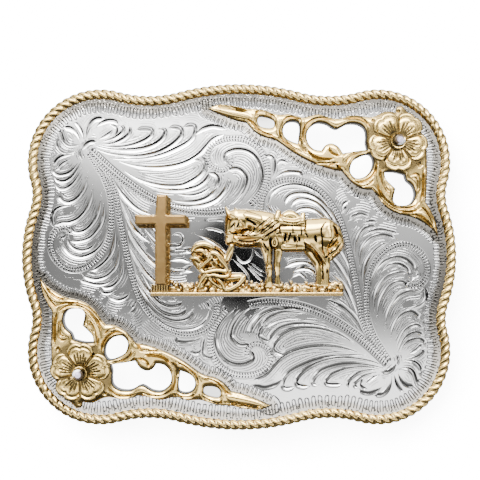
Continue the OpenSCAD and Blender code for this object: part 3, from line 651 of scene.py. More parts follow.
# The corner piece, as the solids have it: x, y, and 1 at a sharp corner
FILIGREE = [
    (-7.3, 34.4, 1), (-5.0, 35.4, 0), (-1.5, 35.2, 0), (2.0, 34.5, 0), (5.5, 34.2, 0), (8.8, 33.2, 0),
    (12.0, 33.2, 0), (14.9, 32.5, 0), (18.5, 33.2, 0), (22.8, 32.2, 0), (26.5, 33.1, 0), (30.2, 32.6, 0),
    (32.0, 33.0, 1), (34.2, 34.0, 0), (36.4, 33.8, 1), (36.8, 35.0, 0), (38.0, 35.3, 1), (39.0, 34.2, 0),
    (40.4, 33.0, 1), (42.3, 31.6, 0), (42.6, 29.0, 1), (43.7, 27.4, 0), (43.8, 24.0, 0), (43.8, 18.0, 0),
    (43.5, 12.8, 1), (44.7, 10.8, 0), (45.9, 8.0, 0), (46.4, 4.7, 1), (44.9, 6.5, 0), (43.0, 7.9, 0),
    (40.5, 9.2, 0), (37.8, 9.8, 0), (35.4, 10.7, 0), (33.4, 12.4, 0), (32.0, 14.4, 0), (30.9, 15.6, 1),
    (28.6, 15.8, 0), (26.4, 17.1, 0), (24.9, 18.7, 0), (23.8, 19.9, 1), (21.6, 20.3, 0), (18.4, 21.3, 0),
    (15.5, 22.6, 0), (12.5, 24.3, 0), (9.9, 26.2, 0), (8.2, 27.2, 0), (5.4, 28.0, 0), (3.4, 29.3, 0),
    (1.8, 31.1, 1), (-0.8, 31.7, 0), (-4.0, 32.9, 0)]
# Its first row on the inner side, which a scalloped band follows on the plate
BAND_START = 27
# An opening of it over the closed plate, and its windows, which go through the plate too
BLIND = [(4.3, 31.6, 0), (4.7, 32.5, 0), (6.2, 32.4, 0), (7.8, 31.8, 0), (8.2, 31.0, 0), (7.8, 30.1, 0),
         (6.2, 30.0, 0), (4.8, 30.5, 0)]
WINDOWS = [
    [(10.2, 29.2, 0), (10.7, 30.9, 0), (12.1, 31.6, 0), (13.7, 31.3, 0), (14.1, 30.0, 0), (13.9, 27.8, 0),
     (13.7, 26.3, 1), (12.0, 26.9, 0), (10.7, 27.8, 0)],
    [(15.7, 28.0, 0), (16.3, 29.9, 0), (18.0, 31.2, 0), (20.2, 31.0, 0), (22.6, 29.8, 0), (25.2, 31.0, 0),
     (27.8, 30.9, 0), (29.3, 29.8, 0), (29.6, 28.0, 0), (29.5, 26.6, 0), (29.9, 25.0, 1), (27.2, 24.6, 0),
     (24.1, 24.1, 1), (23.0, 25.7, 0), (21.4, 26.4, 0), (20.0, 25.9, 0), (19.2, 24.7, 1), (17.5, 25.0, 0),
     (16.2, 26.2, 0)],
    [(25.8, 20.4, 0), (26.5, 22.3, 0), (28.5, 23.5, 0), (30.2, 23.9, 0), (31.1, 22.9, 0), (31.2, 21.4, 0),
     (30.5, 19.8, 0), (29.0, 18.6, 0), (27.2, 18.3, 0), (26.1, 19.2, 0)],
    [(33.8, 19.8, 1), (36.2, 19.8, 0), (38.6, 19.2, 1), (39.1, 17.8, 0), (40.4, 16.6, 0), (41.0, 15.0, 0),
     (40.8, 13.5, 0), (39.9, 12.4, 0), (38.4, 12.0, 0), (36.8, 12.1, 0), (35.9, 13.0, 0), (36.0, 14.4, 0),
     (36.4, 15.9, 1), (35.2, 17.0, 0), (34.1, 18.2, 0)]]


# ------------------------------------------------------------------------------- materials
class Value:
    """A number in a shader. Sums and products of it add Math nodes."""

    def __init__(self, shader, socket):
        self.shader, self.socket = shader, socket

    def maths(self, operation, *others):
        values = {0: self}
        for i, other in enumerate(others, 1):
            values[i] = other
        node = self.shader.node("ShaderNodeMath", {"operation": operation}, values)
        return Value(self.shader, node.outputs[0])

    def __add__(self, other):
        return self.maths("ADD", other)

    def __mul__(self, other):
        return self.maths("MULTIPLY", other)

    def __sub__(self, other):
        return self.maths("SUBTRACT", other)

    def __truediv__(self, other):
        return self.maths("DIVIDE", other)

    def __rsub__(self, other):
        return self * -1 + other

    __radd__ = __add__
    __rmul__ = __mul__

    def sin(self):
        return self.maths("SINE")

    def size(self):
        return self.maths("ABSOLUTE")

    def power(self, exponent):
        return self.maths("POWER", exponent)

    def between(self, low, high):
        """0 below low, 1 above high, and smooth in between."""
        node = self.shader.node("ShaderNodeMapRange", {"interpolation_type": "SMOOTHSTEP"},
                                {"Value": self, "From Min": low, "From Max": high})
        return Value(self.shader, node.outputs["Result"])


class Shader:
    """A material or a world, and the one way in which its nodes are made."""

    def __init__(self, owner):
        owner.use_nodes = True
        self.tree = owner.node_tree
        self.tree.nodes.clear()

    def node(self, kind, settings=None, values=None):
        made = self.tree.nodes.new(kind)
        for key, value in (settings or {}).items():
            setattr(made, key, value)
        for key, value in (values or {}).items():
            socket = made.inputs[key]
            if isinstance(value, Value):
                value = value.socket
            if isinstance(value, bpy.types.NodeSocket):
                self.tree.links.new(value, socket)
            else:
                socket.default_value = value
        return made

    def value(self, socket):
        return Value(self, socket)

    def attribute(self, name):
        made = self.node("ShaderNodeAttribute", {"attribute_name": name})
        return Value(self, made.outputs["Fac"])

    def place(self, stretch=(1, 1, 1)):
        """Object coordinates in millimetres, stretched."""
        where = self.node("ShaderNodeTexCoord").outputs["Object"]
        return self.node("ShaderNodeMapping", None,
                         {"Vector": where, "Scale": tuple(s / MM for s in stretch)}).outputs["Vector"]

    def noise(self, scale, detail=2.0, stretch=(1, 1, 1)):
        made = self.node("ShaderNodeTexNoise", None,
                         {"Vector": self.place(stretch), "Scale": scale, "Detail": detail})
        return Value(self, made.outputs["Fac"])

    def cells(self, scale):
        made = self.node("ShaderNodeTexVoronoi", None, {"Vector": self.place(), "Scale": scale})
        return Value(self, made.outputs["Distance"])

    def mix(self, share, first, second):
        made = self.node("ShaderNodeMix", {"data_type": "RGBA"},
                         {"Factor": share, 6: (*first, 1) if isinstance(first, tuple) else first,
                          7: (*second, 1) if isinstance(second, tuple) else second})
        return made.outputs[2]

    def bump(self, height, strength, distance, normal=None):
        values = {"Height": height, "Strength": strength, "Distance": distance * MM}
        if normal is not None:
            values["Normal"] = normal
        return self.node("ShaderNodeBump", None, values).outputs["Normal"]

    def surface(self, **values):
        names = {"colour": "Base Color", "roughness": "Roughness", "metallic": "Metallic",
                 "normal": "Normal", "ior": "IOR", "coat": "Coat Weight",
                 "emission": "Emission Color", "glow": "Emission Strength"}
        inputs = {names[key]: (*value, 1) if isinstance(value, tuple) else value
                  for key, value in values.items()}
        made = self.node("ShaderNodeBsdfPrincipled", None, inputs)
        self.node("ShaderNodeOutputMaterial", None, {"Surface": made.outputs[0]})


def material(name):
    """A new material's shader, or None where the material is already made."""
    if name in bpy.data.materials:
        return None
    return Shader(bpy.data.materials.new(name))


def engraved_silver(tint):
    """Silver with the fine work of the graver, drawn darker: painted shade on the walls of the large
    cuts, the dark hatching, ticks of the ribbons, loops of the border and stippling, and painted
    shade with a gold-tinted painted reflection near the rope and the corner pieces."""
    shader = material("engraved_silver")
    if shader:
        get = shader.attribute
        # Painted shade on the steep wall of each cut, darkest where the piece marks it
        wall = (1 - (get("cut") + 0.14).size().between(0.12, 0.36)) * get("wall_shade")
        hatch = (get("hatch") * (2 * math.pi / HATCH_PITCH)).sin().between(-0.4, 0.8) * get("hatched")
        # Ribbons: two rows of slanting ticks between two fine rails
        u = get("ribbon_across")
        v = u.size()
        slant = get("ribbon_along") * (2 * math.pi / sizes().tick_pitch * MM) + v * 1.6
        ticks = slant.sin().between(-0.25, 0.45) * v.between(0.04, 0.14) * (1 - v.between(0.84, 0.96))
        near_rail, far_rail = ((u + at).size().between(0.08, 0.26) for at in (-1.06, 1.06))
        rails = 1 - near_rail * (0.5 + far_rail * 0.5)
        # Border: loops open to the rope, uneven as hand work is, with stippling and painted shade near it
        pitch = sizes().loop_pitch / MM
        q = (get("edge_along").maths("FRACT") - 0.5 + (shader.noise(0.6) - 0.5) * 0.16) * pitch
        d = get("edge_across") + (shader.noise(0.45) - 0.5) * 0.9
        over = d - (sizes().loop_length / MM - 0.45) - (shader.noise(0.25) - 0.5) * 1.2
        over = over.maths("MAXIMUM", 0)
        r = (q * q + over * over).power(0.5)
        loops = (1 - (r - 0.38).size().between(0.06, 0.20)) * (0.5 + shader.noise(2.2, 1) * 0.8)
        loops = loops * d.between(0.2, 0.7)
        within = 1 - r.between(0.24, 0.34)
        gaps = (1 - within) * d.between(0.8, 1.3) * (1 - d.between(1.5, 2.3))
        stipple = 1 - shader.cells(1.6).between(0.16, 0.42)
        near_rope = 1 - d.between(1.0, 1.9)
        # Band along the corner pieces: small scallops and stippling, with painted shade
        b = get("band_across")
        bq = ((get("band_along") / SCALLOP_PITCH).maths("FRACT") - 0.5) * SCALLOP_PITCH
        bo = (b - SCALLOP_LENGTH).maths("MAXIMUM", 0)
        br = (bq * bq + bo * bo).power(0.5)
        scallops = (1 - (br - 0.30).size().between(0.03, 0.15)) * b.between(0.5, 1.2)
        near_gold = 1 - b.between(1.0, 2.0)
        # Near the rope and the corner pieces: the matting's own stipple, with painted shade and a
        # gold-tinted painted reflection
        stippled_and_shaded = (near_rope + near_gold).maths("MINIMUM", 1)
        dark = wall * 0.9 + hatch * 0.7 + ticks * 0.96 + rails * 0.6 + loops * 0.88 + scallops * 0.94
        # There the stipple's dots, and an even painted shade over the whole zone
        dark = (dark + stipple * stippled_and_shaded * 0.8 + stippled_and_shaded * 0.26 + gaps * 0.22).maths("MINIMUM", 0.95)
        deep = (dark - within * (1 - near_rope) * 0.3) * (1 - stippled_and_shaded * 0.6)
        normal = shader.bump(deep * -1, 0.55, 0.07)
        normal = shader.bump(shader.noise(0.5, 2), 0.04, 0.06, normal)
        wear = shader.noise(0.35, 4)
        # Gold-tinted painted reflection near the rope and the corner pieces
        colour = shader.mix(stippled_and_shaded * 0.6, tuple(tint), (0.84, 0.74, 0.58))
        colour = shader.mix(dark, colour, tuple(0.02 * c for c in tint))
        shader.surface(colour=colour, metallic=1.0, normal=normal,
                       roughness=wear * 0.04 + dark * (1 - stippled_and_shaded) * 0.08 + 0.05)
    return bpy.data.materials["engraved_silver"]


def polished_gold(name, tint, deep_tint, rough, hollow):
    """Gold that takes the dark colour hollow where the piece marks painted shade, partly patina in
    its grooves, and is browner in the patches of painted shade that the piece marks."""
    shader = material(name)
    if shader:
        patina = shader.noise(1.2, 3).between(0.35, 0.75)
        colour = shader.mix(patina * 0.4, tuple(tint), tuple(deep_tint))
        shade_and_patina = shader.attribute("shade_and_patina")
        # Browner gold in the patches that the piece marks: painted shade
        colour = shader.mix(shader.attribute("shade_patches"), colour, (0.72, 0.38, 0.075))
        # The dark colour hollow where the piece marks it: painted shade, partly patina in the grooves
        colour = shader.mix(shade_and_patina * 0.95, colour, tuple(hollow))
        normal = shader.bump(shader.noise(2.6, 3), 0.18, 0.04)
        roughness = shader.noise(0.8, 3) * 0.10 + shade_and_patina * 0.12 + (rough - 0.06)
        shader.surface(colour=colour, metallic=1.0, roughness=roughness, normal=normal)
    return bpy.data.materials[name]


def satin_gold(tint, deep_tint):
    """Satin gold with a fine upright grain."""
    shader = material("cross_gold")
    if shader:
        grain = shader.noise(3.0, 4, (1, 0.25, 1))
        shade_and_patina = shader.attribute("shade_and_patina")
        colour = shader.mix(shader.noise(0.5, 3).between(0.3, 0.8) * 0.15, tuple(tint), tuple(deep_tint))
        # Darker where the piece marks it: painted shade on the rough sides of the cross
        colour = shader.mix(shade_and_patina * 0.85, colour, tuple(0.35 * c for c in deep_tint))
        normal = shader.bump(grain, 0.08, 0.02)
        shader.surface(colour=colour, metallic=1.0, roughness=grain * 0.08 + 0.28, normal=normal)
    return bpy.data.materials["cross_gold"]


def clear_stone(tint):
    """A foiled stone, with painted facet sparkle, a dark ring of painted shade on one side and a painted
    white glint on the other, as its cup would give it.
    """
    shader = material("clear_stone")
    if shader:
        where = shader.node("ShaderNodeSeparateXYZ", None, {0: shader.place()})
        x, y = (shader.value(where.outputs[i]).size() - at for i, at in enumerate(STONE_AT))
        off = (x * x + y * y).power(0.5)
        # Painted facet sparkle: darker patches in cells
        sparkle = shader.cells(1.6).between(0.1, 0.7)
        colour = shader.mix(sparkle * 0.8, tuple(tint), (0.30, 0.26, 0.33))
        # Painted shade on one side of the ring, and a painted white glint on the other
        aside = (x - y).between(0.3, 0.9)
        colour = shader.mix(off.between(0.62, 0.82) * (1 - aside), colour, (0.10, 0.07, 0.04))
        colour = shader.mix(off.between(0.62, 0.82) * aside, colour, (1.0, 1.0, 0.98))
        shader.surface(colour=colour, metallic=0.7, roughness=shader.noise(2.0) * 0.03 + 0.02,
                       ior=2.2, coat=1.0)
    return bpy.data.materials["clear_stone"]


def fitting_silver(tint):
    """Brushed silver of the loop and the hook."""
    shader = material("fitting_silver")
    if shader:
        brushed = shader.noise(1.5, 4, (1, 6, 6))
        colour = shader.mix(shader.noise(0.25, 3).between(0.4, 0.7) * 0.4, tuple(tint),
                            tuple(0.75 * c for c in tint))
        shader.surface(colour=colour, metallic=1.0, roughness=brushed * 0.15 + 0.22,
                       normal=shader.bump(brushed, 0.2, 0.03))
    return bpy.data.materials["fitting_silver"]


# -------------------------------------------------------------------------- sizes and colours
class BuckleSizes(bpy.types.PropertyGroup):
    """Sizes of the buckle's finish."""
    cut_depth: FloatProperty(name="Cut depth",
                             description="Depth of the engraving, as a share of its drawn depth",
                             default=1.0, min=0.2, max=1.5, subtype="FACTOR")
    tick_pitch: FloatProperty(name="Bead pitch",
                              description="Distance between two beads of a beaded ribbon",
                              default=TICK_PITCH * MM, unit="LENGTH")
    loop_pitch: FloatProperty(name="Border pitch", description="Distance between two loops of the border",
                              default=1.45 * MM, unit="LENGTH")
    loop_length: FloatProperty(name="Border loop", description="Length of a loop of the border",
                               default=2.9 * MM, unit="LENGTH")
    strands: IntProperty(name="Strands", description="Strands that show round the rope edge", default=176)
    camera_height: FloatProperty(name="Camera height", description="Height of the camera over the floor",
                                 default=457.5 * MM, unit="LENGTH")


class BuckleColours(bpy.types.PropertyGroup):
    """Colours of the buckle's metals and of the floor."""
    silver: FloatVectorProperty(name="Silver", description="Colour of the engraved plate", subtype="COLOR",
                                default=(0.90, 0.895, 0.88), min=0, max=1)
    gold: FloatVectorProperty(name="Gold", description="Colour of the polished gold", subtype="COLOR",
                              default=(0.97, 0.69, 0.235), min=0, max=1)
    deep_gold: FloatVectorProperty(name="Deep gold", description="Colour of the gold in its hollows",
                                   subtype="COLOR", default=(0.86, 0.58, 0.20), min=0, max=1)
    satin_gold: FloatVectorProperty(name="Satin gold", description="Colour of the cross's front",
                                    subtype="COLOR", default=(0.315, 0.188, 0.068), min=0, max=1)
    stone: FloatVectorProperty(name="Stone", description="Colour of the cut stones", subtype="COLOR",
                               default=(0.80, 0.70, 0.88), min=0, max=1)
    back: FloatVectorProperty(name="Back", description="Colour of the fittings of the back",
                              subtype="COLOR",
                              default=(0.72, 0.71, 0.69), min=0, max=1)
    floor: FloatVectorProperty(name="Floor", description="Colour of the floor", subtype="COLOR",
                               default=(0.92, 0.92, 0.92), min=0, max=1)


def sizes():
    return bpy.context.scene.buckle_sizes


def colours():
    return bpy.context.scene.buckle_colours


# ---------------------------------------------------------------------------- the plate
def in_corner_work(points):
    """Which points the corner pieces cover."""
    loop = closed_line(FILIGREE, 0.5)
    return inside(points, loop) | inside(-points, loop)


def dome_below(points, under):
    """The same dome, lying lower and with its walls square to the face."""
    r2 = (np.asarray(points, float) ** 2).sum(-1)
    return FACE_Z - DOME_R + np.sqrt((DOME_R - under) ** 2 - r2)


class OBJECT_OT_buckle_plate(bpy.types.Operator):
    """Models the domed silver plate with its engraving, beaded ribbons and border"""
    bl_idname = "buckle.plate"
    bl_label = "Engraved plate"

    def execute(self, context):
        depth_share = sizes().cut_depth
        under_rope = 0.25
        edge = edge_line(ROPE_D - under_rope, 0.6)[0]
        holes = [closed_line(w, 0.4) for w in WINDOWS]
        holes += [-h for h in holes]
        leaf_wall, middle_wall = 0.30, 0.16
        cuts = [Cut(points, ramp, deep * depth_share, leaf_wall, side, root, tip)
                for ramp, deep, side, root, tip, points in LEAVES]
        cuts += [c.turned() for c in cuts]
        cuts += [Cut(points, ramp, deep * depth_share, middle_wall, side, root, tip)
                 for ramp, deep, side, root, tip, points in MIDDLE]
        lines = [line for cut in cuts for line in cut.lines()]
        rim = edge_line(ROPE_D + GAP, 0.5)[0]
        rim_length = lengths(ring(rim))[-1]
        loop_count = round(rim_length / (sizes().loop_pitch / MM))
        band = open_line([row[:2] for row in FILIGREE[BAND_START:] + FILIGREE[:1]], 0.6)
        ribbons = [open_line(points, 0.4) for _, _, points in RIBBONS]
        widths = [(a, b) for a, b, _ in RIBBONS] * 2
        ribbons += [-line for line in ribbons]

        def height(points):
            return dome(points) - cut_depth(points, cuts)

        def values(points, faces):
            """The places in the cuts, ribbons, border and bands from which the material draws."""
            along, e, which = along_lines(points, faces, [c.line for c in cuts], 4.2)
            cut, ends, wall_shade = e.copy(), np.zeros(e.shape), np.zeros(e.shape)
            accents = np.random.default_rng(3).uniform(0.4, 0.85, len(cuts) // 2 + 9)
            for k in np.unique(which[which >= 0]):
                rows = which == k
                share = along[rows] / lengths(cuts[k].line)[-1]
                if k < 2 * len(LEAVES):
                    ends[rows] = np.clip((share - 0.12) / 0.15, 0, 1) * np.clip((0.97 - share) / 0.05, 0, 1)
                swell = spread(cuts[k].scale, share)
                # The painted shade on a cut's wall is darkest at one place along the line
                accent = np.clip(1.5 - np.abs(share - accents[k % len(accents)]) / 0.22, 0, 1)
                wall_shade[rows] = 0.68 + 0.32 * accent
                cut[rows] = e[rows] * cuts[k].side / swell / max(0.6, min(1.0, cuts[k].deep / 0.26))
            t, u, which = along_lines(points, faces, ribbons, 1.5)
            for k in np.unique(which[which >= 0]):
                rows = which == k
                length = lengths(ribbons[k])[-1]
                wide = widths[k][0] + (widths[k][1] - widths[k][0]) * t[rows] / length
                past = (t[rows] < 0.02).all(1) | (t[rows] > length - 0.02).all(1)
                u[rows] = np.where(past[:, None], FAR, u[rows] / (wide / 2))
            rim_t, rim_d, _ = along_lines(points, faces, [rim], 200, True)
            band_t, band_d, _ = along_lines(points, faces, [band, -band], 4.0)
            band_d[in_corner_work(points[faces].mean(1))] = FAR
            on_ribbon = np.abs(u).min(1) < 1.2
            # Hatching lies between the cuts, and stops at border, bands and ribbons
            hatched = np.clip((np.abs(cut) - 0.45) / 0.2, 0, 1) * np.clip((4.1 - np.abs(e)) / 0.5, 0, 1)
            hatched *= 0.1 + 0.9 * np.clip((30.5 - np.abs(points[faces][..., 1])) / 6, 0, 1)
            hatched *= np.clip((np.abs(rim_d) - 3.3) / 0.4, 0, 1)
            hatched *= np.clip((np.abs(band_d) - 2.4) / 0.3, 0, 1)
            hatched *= ends * ~on_ribbon[:, None]
            return [("hatch", e), ("hatched", hatched), ("cut", cut), ("wall_shade", wall_shade),
                    ("ribbon_along", t), ("ribbon_across", u),
                    ("edge_along", rim_t / rim_length * loop_count), ("edge_across", np.abs(rim_d)),
                    ("band_along", band_t), ("band_across", np.abs(band_d))]

        relief("plate_engraved", [edge] + holes, lines, hex_fill((-51, -41), (51, 41), 0.54), 0.15,
               height, lambda p: dome_below(p, PLATE_T), engraved_silver(colours().silver),
               ["plate"], values, 38)
        return {"FINISHED"}


# ------------------------------------------------------------------------------ the rope edge
class OBJECT_OT_buckle_rope(bpy.types.Operator):
    """Models the gold rope round the edge"""
    bl_idname = "buckle.rope"
    bl_label = "Rope edge"

    def execute(self, context):
        strands, sides, per = 3, 24, 12
        count = sizes().strands * per
        radius = ROPE_D / 2
        middle, outward = edge_line(radius, 0.1)
        length = lengths(ring(middle))
        at = np.arange(count) / count * length[-1]
        p, o = (np.stack([np.interp(at, length, ring(v)[:, k]) for k in (0, 1)], 1)
                for v in (middle, outward))
        o /= np.linalg.norm(o, axis=1)[:, None]
        a = 2 * math.pi * np.arange(sides) / sides
        twist = 2 * math.pi / strands * sizes().strands * np.arange(count) / count
        phase = (a[None] + twist[:, None]) % (2 * math.pi / strands) - math.pi / strands
        strand_r, off = 0.60 * radius, 0.40 * radius
        r = off * np.cos(phase) + np.sqrt(np.maximum(strand_r ** 2 - (off * np.sin(phase)) ** 2, 0))
        z = dome(p) - ROPE_DROP
        x = p[:, None, :] + o[:, None, :] * (r * np.cos(a))[..., None]
        points = np.concatenate([x, (z[:, None] + r * np.sin(a))[..., None]], 2).reshape(-1, 3)
        here = np.arange(count)[:, None] * sides
        ahead = (np.arange(count)[:, None] + 1) % count * sides
        k = np.arange(sides)[None]
        beside = (k + 1) % sides
        faces = np.stack([here + k, here + beside, ahead + beside, ahead + k], -1).reshape(-1, 4)
        # Painted shade between the strands, and on the side that lies to the plate
        valley = np.clip(np.abs(phase) / (math.pi / strands), 0, 1) ** 4
        valley = np.maximum(valley, np.clip((0.2 - np.sin(a)[None]) / 0.5, 0, 0.55))
        gold = polished_gold("rope_gold", colours().gold, colours().deep_gold, 0.15, (0.22, 0.165, 0.10))
        new_piece("rope_twisted", points, faces, gold, ["rope_edge"], 60,
                  [("shade_and_patina", valley.ravel())])
        return {"FINISHED"}


# -------------------------------------------------------------------- raised and cut modelling
class Limb:
    """A rounded bar along a line. A row is x, y, radius and the height of its crest."""

    def __init__(self, rows):
        rows = np.array(rows, float)
        if len(rows) == 1:
            self.rows = np.vstack([rows, rows + [1e-3, 0, 0, 0]])
        else:
            self.rows = open_line(rows, 0.25)

    def near(self, points):
        """For each point: its share of the radius from the line (1 at the silhouette), and the
        height of the bar there."""
        a, b = self.rows[:-1], self.rows[1:]
        d = b[:, :2] - a[:, :2]
        size = np.maximum((d ** 2).sum(1), 1e-12)
        rel = points[:, None] - a[None, :, :2]
        t = np.clip((rel * d).sum(-1) / size, 0, 1)
        off = np.linalg.norm(rel - t[..., None] * d, axis=-1)
        radius = a[:, 2] + t * (b[:, 2] - a[:, 2])
        share = off / radius
        k = share.argmin(1)
        row = np.arange(len(points))
        s, r = share[row, k], radius[row, k]
        crest = (a[:, 3] + t * (b[:, 3] - a[:, 3]))[row, k]
        return s, crest - np.minimum(0.85 * r, 0.9 + 0.25 * r) * (1 - np.sqrt(np.maximum(1 - s ** 2, 0)))


def limbs_height(points, limbs, blend=0.16):
    """The smooth union of limbs: how high it is, and how far inside its silhouette a point is."""
    total = np.zeros(len(points))
    depth = np.full(len(points), -FAR)
    for limb in limbs:
        s, h = limb.near(points)
        depth = np.maximum(depth, 1 - s)
        total += np.where(s < 1, np.exp(np.clip(h, -4, 6) / blend), 0)
    return blend * np.log(np.maximum(total, 1e-9)), depth


class Stroke:
    """A ridge (rise above 0) or groove (below 0) along a line, pointed at its ends."""

    BLUNT = 0.15    # the share of its length over which an end narrows

    def __init__(self, half, rise, points):
        self.half, self.rise = half, rise
        self.line = open_line(points, 0.3)
        t = np.linspace(0, 1, len(self.line))
        self.scale = np.minimum(1, np.minimum(t, 1 - t) / self.BLUNT * 0.8 + 0.2) ** 0.7

    def lines(self):
        n = normals_2d(self.line) * (self.half * self.scale)[:, None]
        return [self.line, self.line + n, self.line - n] if len(self.line) > 2 else []

    def at(self, points, share=False):
        """What the stroke adds at points, or the share of its full height there."""
        out = np.zeros(len(points))
        pick = around(points, self.line, self.half)
        if len(pick):
            d, along = to_line(points[pick], self.line)
            s = spread(self.scale, along)
            u = np.clip(np.abs(d) / (self.half * s), 0, 1)
            shape = np.sqrt(1 - u ** 2) if self.rise > 0 else (1 - u) ** 0.8
            out[pick] = (shape if share else self.rise * shape) * s
        return out


def stroked(points, strokes):
    """What all ridges add and all grooves take away."""
    up, down = np.zeros(len(points)), np.zeros(len(points))
    for stroke in strokes:
        h = stroke.at(points)
        up, down = np.maximum(up, h), np.minimum(down, h)
    return up + down


def hollow(points, strokes):
    """How much of a groove's floor is at points, 0 to 1."""
    dark = np.zeros(len(points))
    for stroke in strokes:
        if stroke.rise < 0:
            dark = np.maximum(dark, stroke.at(points, True) * min(1, 0.42 - stroke.rise))
    return dark


def contours(field, lo, hi, step):
    """The closed lines on which field(points) is 0, around the places where it is above 0."""
    xs, ys = np.arange(lo[0], hi[0] + step, step), np.arange(lo[1], hi[1] + step, step)
    grid = np.stack(np.meshgrid(xs, ys), -1)
    f = field(grid.reshape(-1, 2)).reshape(len(ys), len(xs))
    f = np.where(np.abs(f) < 1e-6, 1e-6, f)
    f[0], f[-1], f[:, 0], f[:, -1] = -1, -1, -1, -1
    ids, points, segments = {}, [], []

    def crossing(p, q):
        key = (min(p, q), max(p, q))
        if key not in ids:
            a, b = f[p], f[q]
            t = np.clip(a / (a - b), 0.05, 0.95)
            ids[key] = len(points)
            points.append(grid[p] * (1 - t) + grid[q] * t)
        return ids[key]

    mixed = np.argwhere((np.minimum.reduce([f[:-1, :-1], f[1:, :-1], f[:-1, 1:], f[1:, 1:]]) < 0)
                        & (np.maximum.reduce([f[:-1, :-1], f[1:, :-1], f[:-1, 1:], f[1:, 1:]]) > 0))
    for i, j in mixed:
        c = [(i, j), (i, j + 1), (i + 1, j + 1), (i + 1, j)]
        for tri in ((c[0], c[1], c[2]), (c[0], c[2], c[3])):
            up = [f[v] > 0 for v in tri]
            if sum(up) in (0, 3):
                continue
            k = up.index(True) if sum(up) == 1 else up.index(False)
            a, b, d = tri[k], tri[(k + 1) % 3], tri[(k + 2) % 3]
            e = (crossing(a, b), crossing(a, d))
            segments.append(e if sum(up) == 1 else e[::-1])
    least = 12
    out = []
    for chain in chain_loops(segments):
        if len(chain) >= least:
            loop = np.array([points[k] for k in chain])
            for _ in range(2):
                loop = (np.roll(loop, 1, 0) + 2 * loop + np.roll(loop, -1, 0)) / 4
            out.append(even(ring(loop), step)[:-1])
    return sorted(out, key=lambda loop: -abs(loop_area(loop)))


def line_pieces(lines, loops, room=0.08):
    """Lines cut to what lies inside the loops' region and has room beside the loops, so that
    the mesher gets no slivers."""
    out = []
    for line in lines:
        ok = in_region(line, loops)
        for loop in loops:
            near = loop[around(loop, line, 1)]
            if len(near):
                ok &= np.linalg.norm(line[:, None] - near[None], axis=-1).min(1) > room
        start = None
        for i in range(len(line) + 1):
            if i < len(line) and ok[i]:
                start = i if start is None else start
            elif start is not None:
                if i - start > 1:
                    out.append(line[start:i])
                start = None
    return out


def sculpted(name, loops, strokes, height, material, nodes, spacing, half_turn, smooth,
             extra, floor, dark, shade_patches=()):
    """A relief on the plate's dome: height(points) over the face, with ridges and grooves. The
    lines of extra join the mesh. What lies in a groove, or is dark(points), has the darker gold of
    painted shade, partly patina in the grooves. A row of the patches is the middle, the half-widths
    and the slope of a patch of browner gold, which is painted shade."""
    lines = line_pieces([line for s in strokes for line in s.lines()] + list(extra), loops)
    fill = hex_fill(loops[0].min(0), loops[0].max(0), spacing)

    def brown(points):
        """How far inside a patch of painted shade points lie, 0 to 1."""
        most = np.zeros(len(points))
        for x, y, wide, tall, slope in shade_patches:
            along = np.array([math.cos(slope), math.sin(slope)])
            rel = (points - [x, y]) @ np.stack([along, [-along[1], along[0]]], 1) / [wide, tall]
            most = np.maximum(most, np.clip((1 - np.linalg.norm(rel, axis=1)) / 0.4, 0, 1))
        return most

    least = floor + 0.12
    relief(name, loops, lines, fill, spacing * 0.45,
           lambda p: dome(p) + np.maximum(height(p) + stroked(p, strokes), least),
           lambda p: dome(p) + floor, material, nodes,
           lambda p, faces: [("shade_and_patina", np.maximum(hollow(p, strokes), dark(p))), ("shade_patches", brown(p))],
           smooth, half_turn)


